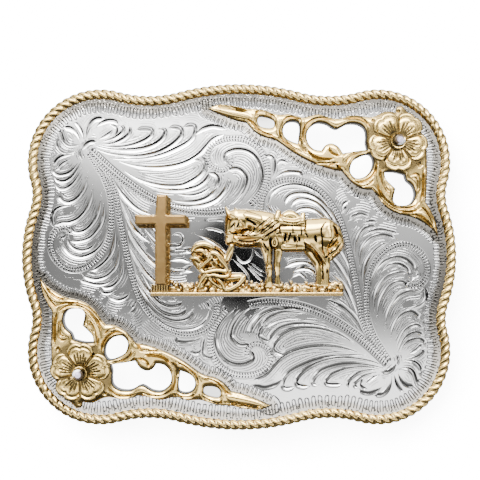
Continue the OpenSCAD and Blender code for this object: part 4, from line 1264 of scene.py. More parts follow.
# --------------------------------------------------------------------- the pierced corners
# Ridges and grooves of a corner piece: half its width, its rise, and its line
CORNER_STROKES = [
    (0.32, -0.75, [(-4.9, 35.0), (-3.4, 35.05), (-1.6, 34.7), (0.0, 34.15), (1.8, 33.95)]),
    (0.45, 0.35, [(-6.6, 34.5), (-4.6, 35.3), (-1.6, 35.2), (1.8, 34.6), (4.4, 34.4), (6.2, 34.0),
        (8.6, 33.0)]),
    (0.55, 0.30, [(-6.4, 34.2), (-3.4, 33.6), (0.0, 33.1), (2.2, 32.6), (3.0, 32.2)]),
    (0.40, 0.30, [(1.6, 31.7), (2.6, 30.4), (4.2, 29.0), (6.2, 28.2), (8.4, 27.6), (10.2, 26.3),
        (12.8, 24.6), (15.8, 22.9), (18.6, 21.8)]),
    (0.26, -0.65, [(1.9, 31.9), (3.1, 31.2), (4.0, 30.2), (4.9, 29.2), (6.2, 28.6), (8.0, 28.0)]),
    (0.26, -0.60, [(3.9, 32.6), (4.1, 33.6), (5.0, 34.0), (6.4, 33.5), (7.8, 32.7), (8.7, 32.0)]),
    (0.30, 0.25, [(8.9, 32.3), (9.0, 30.4), (9.1, 28.6), (9.6, 27.4)]),
    (0.24, -0.60, [(10.3, 31.7), (11.3, 32.4), (12.8, 32.5), (14.0, 32.2), (14.5, 31.6)]),
    (0.24, -0.60, [(9.4, 29.4), (9.8, 28.0), (10.9, 26.6), (12.6, 25.3), (14.2, 24.4)]),
    (0.30, 0.30, [(14.9, 32.2), (14.7, 30.4), (14.5, 28.6), (14.5, 27.4)]),
    (0.42, -0.75, [(14.2, 27.6), (14.3, 26.4), (14.8, 25.4), (15.7, 24.4)]),
    (0.26, -0.60, [(15.1, 26.4), (14.95, 28.6), (15.6, 30.6), (17.2, 31.9), (19.0, 32.3), (20.8, 32.1),
        (22.2, 31.6)]),
    (0.26, -0.60, [(24.2, 31.9), (25.8, 32.4), (27.8, 32.4), (29.2, 31.7), (30.0, 30.9), (30.4, 30.2)]),
    (0.26, -0.70, [(15.8, 24.9), (17.0, 23.6), (18.6, 22.95), (20.2, 22.7), (21.8, 22.8)]),
    (0.24, -0.60, [(21.0, 25.5), (21.1, 24.7), (21.9, 23.9), (23.4, 23.5)]),
    (0.22, -0.45, [(18.0, 21.75), (20.0, 21.7), (21.6, 21.8), (23.0, 21.8)]),
    (0.20, -0.55, [(20.8, 21.2), (21.7, 21.6), (22.5, 21.6)]),
    (0.26, -0.80, [(22.7, 21.4), (23.3, 20.5), (24.1, 19.5)]),
    (0.24, -0.50, [(24.9, 21.6), (25.3, 22.8), (26.6, 23.9), (28.4, 24.3), (30.0, 24.6)]),
    (0.30, 0.35, [(24.2, 22.0), (24.6, 23.4), (26.0, 24.5), (28.4, 25.1), (30.4, 25.6)]),
    (0.30, 0.30, [(24.5, 20.0), (25.6, 18.3), (27.2, 17.1), (28.8, 16.6), (30.4, 17.2)]),
    (0.24, -0.60, [(26.9, 17.6), (28.6, 17.5), (30.3, 18.3), (31.5, 19.8), (31.9, 21.6)]),
    (0.20, -0.50, [(28.6, 16.4), (30.0, 16.8), (31.2, 17.9)]),
    (0.45, -0.80, [(30.8, 24.3), (31.6, 23.7), (32.4, 23.3), (33.6, 23.2), (33.9, 22.2)]),
    (0.26, -0.60, [(32.0, 16.9), (32.6, 15.2), (33.9, 13.4), (35.6, 12.1), (37.6, 11.4), (40.0, 11.5),
        (41.8, 12.6)]),
    (0.20, -0.50, [(31.1, 15.9), (32.0, 14.7), (33.3, 13.2), (35.2, 11.6), (37.4, 10.8), (40.0, 10.6),
        (42.2, 11.4)]),
    (0.28, 0.30, [(32.4, 22.6), (32.3, 20.6), (32.2, 18.6), (32.6, 16.6), (33.6, 14.6), (35.0, 13.0),
        (36.6, 12.1)]),
    (0.24, -0.50, [(33.0, 20.6), (33.0, 18.8), (33.4, 17.2), (34.2, 15.6), (34.9, 14.6)]),
    (0.35, 0.30, [(33.9, 18.6), (34.6, 17.6), (35.4, 16.6), (35.6, 15.4)]),
    (0.22, -0.50, [(33.6, 17.6), (34.0, 16.4), (34.8, 15.3)]),
    (0.24, -0.60, [(42.4, 11.6), (43.6, 10.6), (44.7, 8.9), (45.4, 7.2)]),
    (0.22, -0.50, [(39.8, 9.9), (42.0, 9.5), (43.7, 8.4), (45.0, 6.8)]),
    (0.30, 0.30, [(37.0, 10.3), (39.6, 10.1), (42.2, 10.2), (43.8, 9.2), (45.3, 7.0), (46.1, 5.4)]),
    (0.28, 0.30, [(43.4, 20.6), (43.35, 17.6), (43.3, 14.6), (43.3, 12.8)]),
    (0.22, -0.55, [(42.9, 20.0), (42.85, 17.0), (42.7, 14.6), (42.3, 13.0)]),
    (0.22, -0.45, [(40.0, 18.9), (41.0, 19.4), (41.9, 18.9), (42.2, 17.6), (42.1, 16.0), (41.8, 14.6)]),
    (0.18, -0.40, [(40.6, 18.3), (41.3, 18.3), (41.6, 17.4), (41.6, 16.2), (41.4, 15.4)]),
    (0.50, -0.75, [(41.6, 21.6), (42.6, 21.4)]),
    (0.35, -0.60, [(31.4, 31.4), (31.0, 32.2)]),
    (0.35, -0.65, [(42.5, 32.3), (43.2, 31.2)]),
    (0.30, -0.60, [(37.0, 34.4), (37.4, 33.7)]),
]


class OBJECT_OT_buckle_corners(bpy.types.Operator):
    """Models the two pierced gold corner pieces"""
    bl_idname = "buckle.corners"
    bl_label = "Pierced corners"

    def execute(self, context):
        outline = closed_line(FILIGREE, 0.25)
        windows = [closed_line(w, 0.22) for w in WINDOWS]
        loops = [outline] + windows + [closed_line(BLIND, 0.22)]
        strokes = [Stroke(half * (1.6 if rise < 0 else 1.5), rise * (0.62 if rise < 0 else 0.6), points)
                   for half, rise, points in CORNER_STROKES]
        rings = []
        for loop in loops[1:]:
            away = normals_2d(loop, True) * -np.sign(loop_area(loop))
            for reach in (0.18, 0.45, 0.8):
                rings.append(ring(loop + away * reach))
        inward = normals_2d(outline, True) * np.sign(loop_area(outline))
        rings.append(ring(outline + inward * 0.3))

        def away_from(points):
            """The distance of points from each loop."""
            return [np.abs(to_line(points, loop, True)[0]) for loop in loops]

        def height(points):
            out, *holes = away_from(points)
            edge = np.minimum(np.minimum.reduce(holes + [np.full(len(points), FAR)]) * 1.1, out)
            # Strands with round shoulders, and steep only at the very edge
            h = FILIGREE_T - 0.05 - 0.42 * (1 - np.minimum(edge, 1.3) / 1.3) ** 2
            return h - 0.35 * np.clip(1 - edge / 0.18, 0, 1) ** 2

        # Painted shade on the corner piece under and round the flower, and at its edges
        def dark(points):
            r = np.linalg.norm(points - np.array(FLOWER_AT), axis=1)
            edge = np.minimum.reduce(away_from(points))
            return np.maximum(np.clip((7.9 - r) / 0.9, 0, 0.88), 0.9 * np.clip(1 - edge / 0.2, 0, 1))

        gold = polished_gold("corner_gold", colours().gold, colours().deep_gold, 0.14, (0.055, 0.038, 0.02))
        for side, half_turn in (("right", False), ("left", True)):
            sculpted(f"corner_{side}", loops, strokes, height, gold, [f"filigree_{side}"], 0.22,
                     half_turn, 50, rings, 0.05, dark)
        return {"FINISHED"}


class OBJECT_OT_buckle_flowers(bpy.types.Operator):
    """Models the five-petalled flowers with their cups, and gives the stones their finish"""
    bl_idname = "buckle.flowers"
    bl_label = "Flowers and stones"

    def execute(self, context):
        middle = np.array(FLOWER_AT)
        leading = np.radians([-90, -18, 54, 126, 198])

        def polar(points):
            """Distance from the middle, place across the petal from -1 to 1, the petal's length."""
            rel = points - middle
            r = np.hypot(rel[:, 0], rel[:, 1])
            a = np.arctan2(rel[:, 1], rel[:, 0])
            off = (a[:, None] - leading[None] + math.pi) % (2 * math.pi) - math.pi
            k = np.abs(off).argmin(1)
            t = off[np.arange(len(a)), k] / math.radians(36)
            reach = 4.7 + 2.45 * (1 - np.abs(t) ** 2.6) ** 0.5 - 0.38 * np.exp(-(t / 0.12) ** 2)
            return r, t, reach

        def field(points):
            r, _, reach = polar(points)
            return reach - r

        loops = contours(field, middle - 7.4, middle + 7.4, 0.16)[:1]
        cup_in, cup_out, seat = STONE_D / 2 + 0.06, STONE_D / 2 + 0.62, 0.55
        # A vein's place across the petal and its share of the petal's length
        veins = [(-0.62, 0.60), (-0.34, 0.72), (-0.08, 0.64), (0.18, 0.74), (0.46, 0.68)]

        def cut_in(points):
            """Share of the full depth of the veins, of the gaps between petals and of the folds."""
            r, t, reach = polar(points)
            u = r / reach
            deep = np.zeros(len(r))
            for vein, length in veins:
                away = (t - vein) * math.radians(36) * r
                line = np.clip((0.27 - np.abs(away)) / 0.13, 0, 1)
                line *= np.clip((length - u) / 0.10, 0, 1) * np.clip((r - cup_out) / 0.3, 0, 1)
                deep = np.maximum(deep, line)
            gap = np.clip(1 - (1 - np.abs(t)) * math.radians(36) * r / 0.38, 0, 1)
            gap *= np.clip((r - cup_out) / 0.4, 0, 1)
            fold = np.clip(1 - np.abs(u - 0.835) / 0.04, 0, 1)
            fold *= np.clip((0.9 - np.abs(t - 0.15)) / 0.3, 0, 1)
            return deep, gap, fold

        def height(points):
            r, t, reach = polar(points)
            u = r / reach
            deep, gap, fold = cut_in(points)
            # A pillow, lower towards the cup, within a rolled rim
            w = np.where(u > 0.62, (u - 0.62) / 0.26, (0.62 - u) / 0.45)
            fall = 0.85 * np.abs(t) ** 2.8 + 0.75 * np.clip(w, 0, 1) ** 2.4
            h = 1.15 + 0.50 * np.sqrt(np.clip(1 - fall, 0, 1))
            roll = np.clip(1 - np.abs(u - 0.925) / 0.085, 0, 1)
            roll = 1.25 + 0.36 * np.sqrt(roll) - 0.2 * np.abs(t) ** 3
            h = np.maximum(h - 0.1 * np.clip((u - 0.8) / 0.1, 0, 1), roll)
            h += 0.08 * t - (0.20 * deep + 0.40 * gap + 0.06 * fold)
            rim = 2.35 - 0.15 * np.clip((1.75 - r) / 0.44, 0, 1)
            rim -= 0.9 * np.clip((r - 1.72) / 0.15, 0, 1) ** 2
            h = np.where(r < cup_out, rim, h - 0.30 * np.exp(-((r - cup_out) / 0.25)))
            return np.where(r < cup_in, seat, h)

        # Painted shade in the veins, gaps and folds, at the foot and in the seat of the cup, and at the
        # petals' rim
        def dark(points):
            r, _, reach = polar(points)
            deep, gap, fold = cut_in(points)
            foot = np.exp(-((r - cup_out - 0.05) / 0.2) ** 2)
            rim = np.clip((r / reach - 0.95) / 0.03, 0, 1) * 0.9
            # The cup is in shade at its upper right
            rel = (points - middle) @ np.array([0.55, 0.84])
            shade = np.clip((rel - 0.3) / 0.5, 0, 0.95) * (r < 1.66)
            return np.maximum.reduce([deep ** 0.5, gap ** 0.6, 0.8 * fold, 0.8 * foot, shade,
                                      0.5 * (r < cup_in), rim])

        a = np.linspace(0, 2 * math.pi, 61)
        rings = [middle + r * np.stack([np.cos(a), np.sin(a)], 1)
                 for r in (cup_in - 0.05, cup_in, (cup_in + cup_out) / 2, cup_out)]
        petal_gold = polished_gold("petal_gold", colours().gold, colours().gold, 0.20,
                                   (0.036, 0.025, 0.013))
        for side, half_turn in (("right", False), ("left", True)):
            sculpted(f"blossom_{side}", loops, [], height, petal_gold, [f"flower_{side}"], 0.15,
                     half_turn, 45, rings, FILIGREE_T - 0.6, dark)
            stone = bpy.data.objects[f"stone_{side}"]
            for slot in stone.material_slots:
                slot.material = clear_stone(colours().stone)
        return {"FINISHED"}


# ------------------------------------------------------------------------ cross and ground
class OBJECT_OT_buckle_cross(bpy.types.Operator):
    """Models the satin gold cross with its rough right and lower sides"""
    bl_idname = "buckle.cross"
    bl_label = "Cross"

    def execute(self, context):
        top, foot, left, right = 14.4, -6.35, -23.9, -12.3
        x0, x1, y0, y1 = -19.3, -16.75, 7.55, 9.8
        front = np.array([(x0, foot), (x1, foot), (x1, y0), (right, y0), (right, y1), (x1 + 0.05, y1),
                          (-16.6, top), (-18.95, top), (x0, y1), (left, y1), (left, y0), (x0, y0)])
        fine = np.vstack([even(ring(front)[i:i + 2], 0.3)[:-1] for i in range(len(front))])
        # The rough sides spread to the right and down
        spread = [np.array([0.85, -0.85]) * s for s in np.linspace(0, 1, 9)]

        turn = np.sign(loop_area(fine))

        def into(points):
            """How far inside the front points lie."""
            return to_line(points, fine, True)[0] * turn

        def field(points):
            best = np.maximum.reduce([into(points - move) for move in spread])
            return np.where(points[:, 1] < foot + 0.02, -1.0, best)

        loops = contours(field, (left - 1, foot - 1), (right + 2.2, top + 1), 0.12)[:1]
        bevel_w = 0.34
        inner = fine + normals_2d(fine, True) * turn * bevel_w
        rng = np.random.default_rng(5)
        lumps = rng.uniform((left, foot), (right + 1.4, top), (1500, 2))
        lump_h = rng.uniform(0.10, 0.34, 1500)
        tree = tree_of(lumps)

        def height(points):
            d = into(points)
            bevel = 2.95 + 0.15 * np.clip(d / bevel_w, 0, 1)
            low = 2.5 + np.clip(d, -1.5, 0) * 1.25
            for i in np.flatnonzero(d <= 0):
                _, k, away = tree.find((points[i][0], points[i][1], 0))
                low[i] += 1.3 * lump_h[k] * max(0, 1 - (away / 0.4) ** 2)
            return np.where(d > 0, bevel, low)

        # Painted shade on the rough sides, darker where they lie lower
        def dark(points):
            side = np.clip(-into(points) / 0.25, 0, 1)
            return side * np.clip(0.9 - (height(points) - 1.5) * 0.5, 0.25, 0.9)

        satin = satin_gold(colours().satin_gold, colours().deep_gold)
        sculpted("cross_satin", loops, [], height, satin, ["cross"], 0.2, False, 28,
                 [ring(fine), ring(inner)], 0.05, dark)
        return {"FINISHED"}


class OBJECT_OT_buckle_ground(bpy.types.Operator):
    """Models the strip of ground: a flat bar below and rough tufts above it"""
    bl_idname = "buckle.ground"
    bl_label = "Ground"

    def execute(self, context):
        rng = np.random.default_rng(11)
        # Tufts: middle, radius and height
        xs = np.arange(-20.1, 23.6, 0.62)
        tufts = [(x + 0.15 * rng.standard_normal(), y + 0.12 * rng.standard_normal(),
                  rng.uniform(0.36, 0.66), rng.uniform(1.0, 2.0))
                 for y in (-7.75, -7.1, -6.5) for x in xs + (0.31 if y == -7.1 else 0)]
        tufts += [(x, -6.1 + 0.25 * rng.standard_normal(), rng.uniform(0.3, 0.5), rng.uniform(0.8, 1.6))
                  for x in np.arange(-15.5, 22.6, 1.15)]
        tufts += [(23.0, -6.4, 0.8, 1.7), (23.6, -7.3, 0.75, 1.6),
                  (22.3, -6.0, 0.6, 1.8), (21.6, -6.6, 0.9, 2.0)]
        tufts = [t for t in tufts if not (-20.6 < t[0] < -15.8 and t[1] > -6.7)]
        limbs = [Limb([(x, y, r, h)]) for x, y, r, h in tufts]
        bar = np.array([(-20.6, -9.1), (24.2, -9.1), (24.2, -7.95), (-20.6, -7.95)])
        plinth = np.array([(-20.3, -8.2), (-15.9, -8.2), (-15.9, -6.2), (-20.3, -6.2)])
        bank = np.array([(-20.3, -8.2), (23.9, -8.2), (23.9, -6.9), (-20.3, -6.9)])

        def box_depth(points, box):
            """How far inside a box points lie."""
            return np.minimum.reduce([points[:, 0] - box[0, 0], box[1, 0] - points[:, 0],
                                      points[:, 1] - box[0, 1], box[2, 1] - points[:, 1]])

        def field(points):
            best = np.maximum.reduce([box_depth(points, box) for box in (bar, plinth, bank)])
            for x, y, r, _ in tufts:
                best = np.maximum(best, r - np.hypot(points[:, 0] - x, points[:, 1] - y))
            return best

        loops = contours(field, (-21.4, -9.8), (25.0, -4.8), 0.14)[:1]

        def height(points):
            h, _ = limbs_height(points, limbs, 0.08)
            h = np.maximum(h, 0.75)
            on_bar = box_depth(points, bar)
            flat = 1.9 - 0.35 * np.clip(1 - on_bar / 0.25, 0, 1) ** 2
            on_plinth = box_depth(points, plinth)
            step = 2.15 - 0.3 * np.clip(1 - on_plinth / 0.2, 0, 1) ** 2
            h = np.where(on_bar > 0, flat + 0.04 * np.sin(points[:, 0] * 2.3), h)
            return np.where((on_plinth > 0) & (on_bar <= 0), np.maximum(step, h), h)

        gold = polished_gold("ground_gold", colours().deep_gold, colours().deep_gold, 0.22,
                             (0.20, 0.145, 0.075))
        edges = [np.array([(x, y) for x in np.arange(-20.4, 24.1, 0.3)]) for y in (-7.95, -8.85)]
        ribs = [Stroke(0.15, -0.4, [(x, -6.35), (x + 0.05, -7.1), (x, -7.85)])
                for x in np.arange(-19.9, -16.0, 0.6)]

        # Painted shade low down between the tufts; the flat bar is drawn darker all over
        def dark(points):
            on_bar = 0.36 * (box_depth(points, bar) > 0.2)
            return np.maximum(np.clip((1.45 - height(points)) / 0.8, 0, 0.8), on_bar)

        sculpted("ground_strip", loops, ribs, height, gold, ["ground"], 0.2, False, 45,
                 edges, 0.05, dark)
        return {"FINISHED"}


# --------------------------------------------------------------------------- the figures
# Rows of a limb: x, y, radius, height of the crest over the plate
HORSE_LIMBS = [
    [(9.6, 5.2, 3.7, 2.9), (14.0, 5.0, 3.9, 3.1), (19.0, 5.4, 3.7, 3.1)],
    [(19.6, 5.6, 3.6, 3.1), (20.6, 5.3, 3.2, 2.9)],
    [(8.4, 7.0, 3.0, 2.9), (5.0, 8.0, 2.8, 2.8), (2.0, 8.6, 2.5, 2.6), (-0.6, 8.9, 2.3, 2.5)],
    [(-1.4, 9.0, 1.9, 2.4), (-2.0, 6.4, 1.35, 2.2), (-2.1, 3.7, 1.15, 1.8)],
    [(0.6, 7.0, 1.8, 2.6)],
    [(6.6, 4.6, 2.6, 2.5), (3.6, 4.6, 2.5, 2.3), (0.9, 4.2, 2.1, 2.1), (-0.2, 4.0, 1.7, 1.9)],
    [(-3.0, 11.4, 0.25, 1.6), (-2.5, 10.4, 0.6, 2.1), (-2.0, 9.4, 0.8, 2.3)],
    [(-0.9, 11.3, 0.25, 1.6), (-0.7, 10.6, 0.5, 2.1)],
    [(20.4, 7.0, 1.9, 2.9), (20.5, 4.6, 2.0, 3.3)],
    [(20.9, 3.4, 0.9, 1.8), (21.3, 1.9, 0.8, 1.7)],
    [(10.8, 2.2, 1.1, 2.8), (14.4, 2.25, 1.1, 2.8)],
    [(10.7, 9.5, 1.0, 2.9), (11.9, 9.8, 1.15, 3.0), (13.4, 9.1, 0.9, 2.9)],
    [(8.2, 4.2, 0.95, 2.6), (8.2, 2.7, 0.95, 2.6)],
    [(6.2, 3.6, 1.8, 2.4), (6.6, 0.6, 1.15, 2.2), (6.8, -1.6, 0.8, 2.0), (6.9, -2.6, 0.9, 2.1),
        (7.0, -4.4, 0.62, 1.9), (6.9, -5.6, 0.9, 1.9), (6.8, -6.6, 1.1, 1.8)],
    [(9.2, 2.6, 1.3, 2.1), (9.0, 0.4, 0.95, 2.0), (8.8, -1.2, 0.75, 1.9), (8.8, -2.2, 0.8, 1.9),
        (8.9, -4.2, 0.55, 1.7), (8.9, -5.4, 0.75, 1.7), (9.0, -6.5, 0.95, 1.7)],
    [(17.0, 3.6, 2.2, 2.7), (18.8, 1.4, 1.9, 2.6), (19.9, -1.0, 1.25, 2.3), (20.0, -3.0, 0.95, 2.0),
        (20.0, -6.4, 1.0, 1.8)],
    [(15.6, 2.4, 1.5, 2.0), (17.3, 0.0, 1.2, 1.9), (18.4, -2.2, 0.9, 1.7), (18.5, -6.4, 0.9, 1.6)],
    [(22.6, 6.6, 0.8, 2.1), (23.3, 4.2, 0.9, 2.1), (22.9, 2.2, 1.1, 1.9), (21.6, 0.6, 1.0, 1.8),
        (20.8, -0.6, 0.5, 1.6)],
    [(8.8, 9.0, 0.9, 3.1), (9.1, 10.3, 0.65, 2.9)],
    [(14.5, 8.4, 0.9, 3.1), (14.8, 9.9, 0.55, 2.8)],
    [(10.0, 8.2, 1.1, 3.2), (12.2, 7.9, 1.1, 3.2), (14.4, 8.2, 1.1, 3.15)],
    [(9.8, 6.3, 1.2, 3.2), (14.6, 6.3, 1.2, 3.2)],
]
HORSE_STROKES = [
    # Saddle: seat, skirt, straps with dark gaps, stirrup
    (0.45, 0.35, [(9.9, 8.7), (11.6, 8.3), (13.2, 8.3), (14.4, 8.9)]),
    (0.17, -0.55, [(9.4, 7.2), (11.4, 7.3), (13.4, 7.25), (15.2, 7.1)]),
    (0.20, -0.60, [(9.6, 7.7), (9.3, 6.6), (9.6, 5.4)]),
    (0.17, -0.50, [(15.3, 8.6), (15.4, 7.2), (15.0, 6.0)]),
    (0.28, -1.50, [(10.7, 5.5), (10.65, 4.6), (10.5, 3.6)]),
    (0.22, -1.30, [(11.95, 5.7), (11.6, 4.8), (11.4, 3.7)]),
    (0.34, -1.50, [(12.75, 4.8), (12.85, 4.0), (12.8, 3.5)]),
    (0.24, -1.30, [(13.85, 4.7), (13.9, 4.1), (13.9, 3.6)]),
    (0.30, -1.20, [(14.95, 4.4), (15.1, 4.0)]),
    (0.20, -0.80, [(15.1, 5.5), (15.6, 5.2), (15.7, 4.5)]),
    (0.16, -0.60, [(12.4, 5.6), (13.0, 5.6)]),
    (0.16, -0.50, [(12.3, 6.9), (12.4, 6.1), (12.3, 5.4)]),
    (0.16, -0.50, [(14.2, 7.0), (14.4, 6.0), (14.3, 5.0)]),
    (0.25, 0.40, [(10.0, 5.4), (10.1, 4.2), (10.0, 3.2)]),
    (0.22, 0.40, [(11.2, 5.6), (11.0, 4.4), (11.0, 3.4)]),
    (0.22, 0.40, [(13.4, 5.4), (13.4, 4.3), (13.4, 3.4)]),
    (0.40, 0.45, [(15.2, 3.6), (16.6, 2.7), (18.0, 1.3), (19.2, -0.2), (20.0, -1.6)]),
    (0.18, -0.60, [(14.9, 3.4), (15.4, 2.6), (15.3, 1.6)]),
    (0.22, -0.90, [(10.2, 3.1), (10.6, 2.9)]),
    (0.14, -0.40, [(13.3, 3.2), (13.3, 2.0)]),
    (0.14, -0.45, [(8.2, 4.7), (7.55, 4.2), (7.4, 3.4), (7.55, 2.6), (8.2, 2.1), (8.85, 2.6), (9.0, 3.4),
        (8.85, 4.2), (8.2, 4.7)]),
    (0.12, -0.40, [(8.2, 4.1), (7.9, 3.4), (8.2, 2.7), (8.5, 3.4), (8.2, 4.1)]),
    (0.55, 0.30, [(9.0, 6.6), (8.7, 5.3)]),
    (0.24, -1.80, [(7.45, 4.7), (7.1, 3.9), (7.2, 2.8), (7.8, 1.9)]),
    # Flank, haunch, hind leg and belly
    (0.34, -1.60, [(17.5, 5.1), (17.6, 4.3), (17.8, 3.5)]),
    (0.20, -0.60, [(20.0, 8.2), (19.3, 7.2), (18.9, 6.2), (19.1, 4.6), (19.2, 2.6), (19.4, 0.9)]),
    (0.32, -0.80, [(21.8, 7.3), (22.4, 6.2), (22.8, 4.8)]),
    (0.20, -0.50, [(15.4, 3.0), (16.8, 2.2), (18.2, 0.6), (19.2, -1.4), (19.3, -3.6)]),
    (0.18, -0.45, [(15.0, 2.4), (16.4, 1.6), (17.8, -0.2), (18.9, -2.4)]),
    (0.20, -0.80, [(19.35, -2.8), (19.35, -5.2)]),
    (0.20, -0.80, [(20.3, -2.6), (20.3, -3.8)]),
    # Tail
    (0.16, -0.50, [(22.8, 4.4), (21.8, 3.2), (21.0, 2.4)]),
    (0.18, 0.40, [(23.3, 4.0), (22.2, 2.6), (21.0, 1.4), (20.0, 0.6)]),
    (0.16, -0.50, [(23.6, 3.4), (22.4, 1.8), (21.0, 0.8), (20.2, 0.2)]),
    (0.18, 0.40, [(23.7, 2.6), (22.6, 1.0), (21.2, 0.0)]),
    (0.30, -1.20, [(20.5, 0.1), (19.8, 0.0)]),
    (0.16, -0.50, [(22.0, 4.6), (21.0, 3.4), (20.6, 2.2)]),
    # Neck, mane and reins
    (0.26, -1.10, [(1.4, 9.0), (2.3, 8.5), (3.2, 8.0), (4.0, 7.3)]),
    (0.80, 0.30, [(1.0, 10.0), (3.4, 9.4), (5.4, 8.6)]),
    (0.30, 0.35, [(7.9, 9.1), (6.0, 7.5), (4.0, 5.7)]),
    (0.15, -0.50, [(7.2, 9.3), (5.4, 7.9), (4.0, 6.7)]),
    (0.15, -0.50, [(8.2, 8.5), (6.4, 6.9), (4.6, 5.3)]),
    (0.28, 0.35, [(9.6, 7.7), (7.6, 6.2), (5.2, 4.7)]),
    (0.15, -0.50, [(9.2, 8.2), (7.2, 6.75), (5.0, 5.2)]),
    (0.15, -0.50, [(9.4, 7.0), (7.4, 5.6), (5.6, 4.4)]),
    (0.24, -0.80, [(5.7, 6.6), (5.2, 6.0)]),
    # Head and bridle
    (0.18, 0.35, [(-2.2, 9.9), (-1.2, 9.7), (-0.2, 8.9), (0.6, 8.1), (1.0, 7.1)]),
    (0.20, -0.90, [(0.0, 8.0), (-0.2, 7.4), (-0.6, 6.9)]),
    (0.18, -0.80, [(-1.1, 7.9), (-1.5, 7.3), (-1.9, 6.8)]),
    (0.16, -0.50, [(-2.6, 9.2), (-2.2, 8.6), (-1.5, 8.8)]),
    (0.20, 0.40, [(-3.0, 5.3), (-2.0, 5.5), (-1.0, 6.1), (0.4, 6.5), (1.2, 6.6)]),
    (0.18, -0.60, [(-2.2, 6.0), (-1.2, 5.4), (-0.2, 5.6)]),
    (0.18, -0.60, [(-2.9, 4.8), (-2.5, 4.5)]),
    (0.16, -0.50, [(-2.9, 3.4), (-2.2, 3.2), (-1.4, 3.6)]),
    (0.16, -0.60, [(-1.4, 4.8), (-1.0, 4.2)]),
    (0.20, 0.40, [(-1.0, 5.0), (-1.5, 4.2), (-1.5, 3.2)]),
    (0.22, -0.80, [(1.0, 7.2), (1.2, 6.8)]),
    (0.30, -0.60, [(0.2, 6.0), (1.4, 6.4), (2.8, 6.2)]),
    (0.24, 0.50, [(0.6, 5.2), (1.8, 5.3), (2.8, 5.8), (3.4, 6.8), (3.2, 7.6)]),
    (0.18, -0.70, [(3.0, 5.6), (3.4, 6.2), (3.5, 7.0)]),
    (0.16, -0.50, [(-0.6, 5.0), (1.6, 4.9), (3.2, 5.0), (4.6, 5.2)]),
    (0.20, -0.50, [(-0.4, 3.9), (1.6, 3.65), (3.4, 3.75), (4.8, 4.2)]),
    (0.26, 0.50, [(-0.8, 3.6), (0.6, 3.2), (2.4, 3.1), (4.0, 3.4), (5.0, 3.9)]),
    (0.16, -0.50, [(-0.4, 2.9), (1.2, 2.6), (3.0, 2.6), (4.6, 2.9)]),
    (0.20, -0.80, [(5.1, 4.2), (5.6, 4.0)]),
    (0.20, 0.50, [(5.2, 3.4), (5.8, 2.2), (6.2, 1.0)]),
    (0.18, -0.60, [(5.6, 3.4), (6.3, 2.2), (6.9, 1.4)]),
    # Forelegs
    (0.26, -1.10, [(7.6, 1.4), (7.6, 0.6)]),
    (0.22, -0.90, [(7.8, -0.8), (7.8, -1.5)]),
    (0.22, -0.90, [(8.0, -3.4), (7.8, -4.3)]),
    (0.16, 0.30, [(6.5, 0.6), (6.6, -2.0), (6.8, -4.4)]),
]
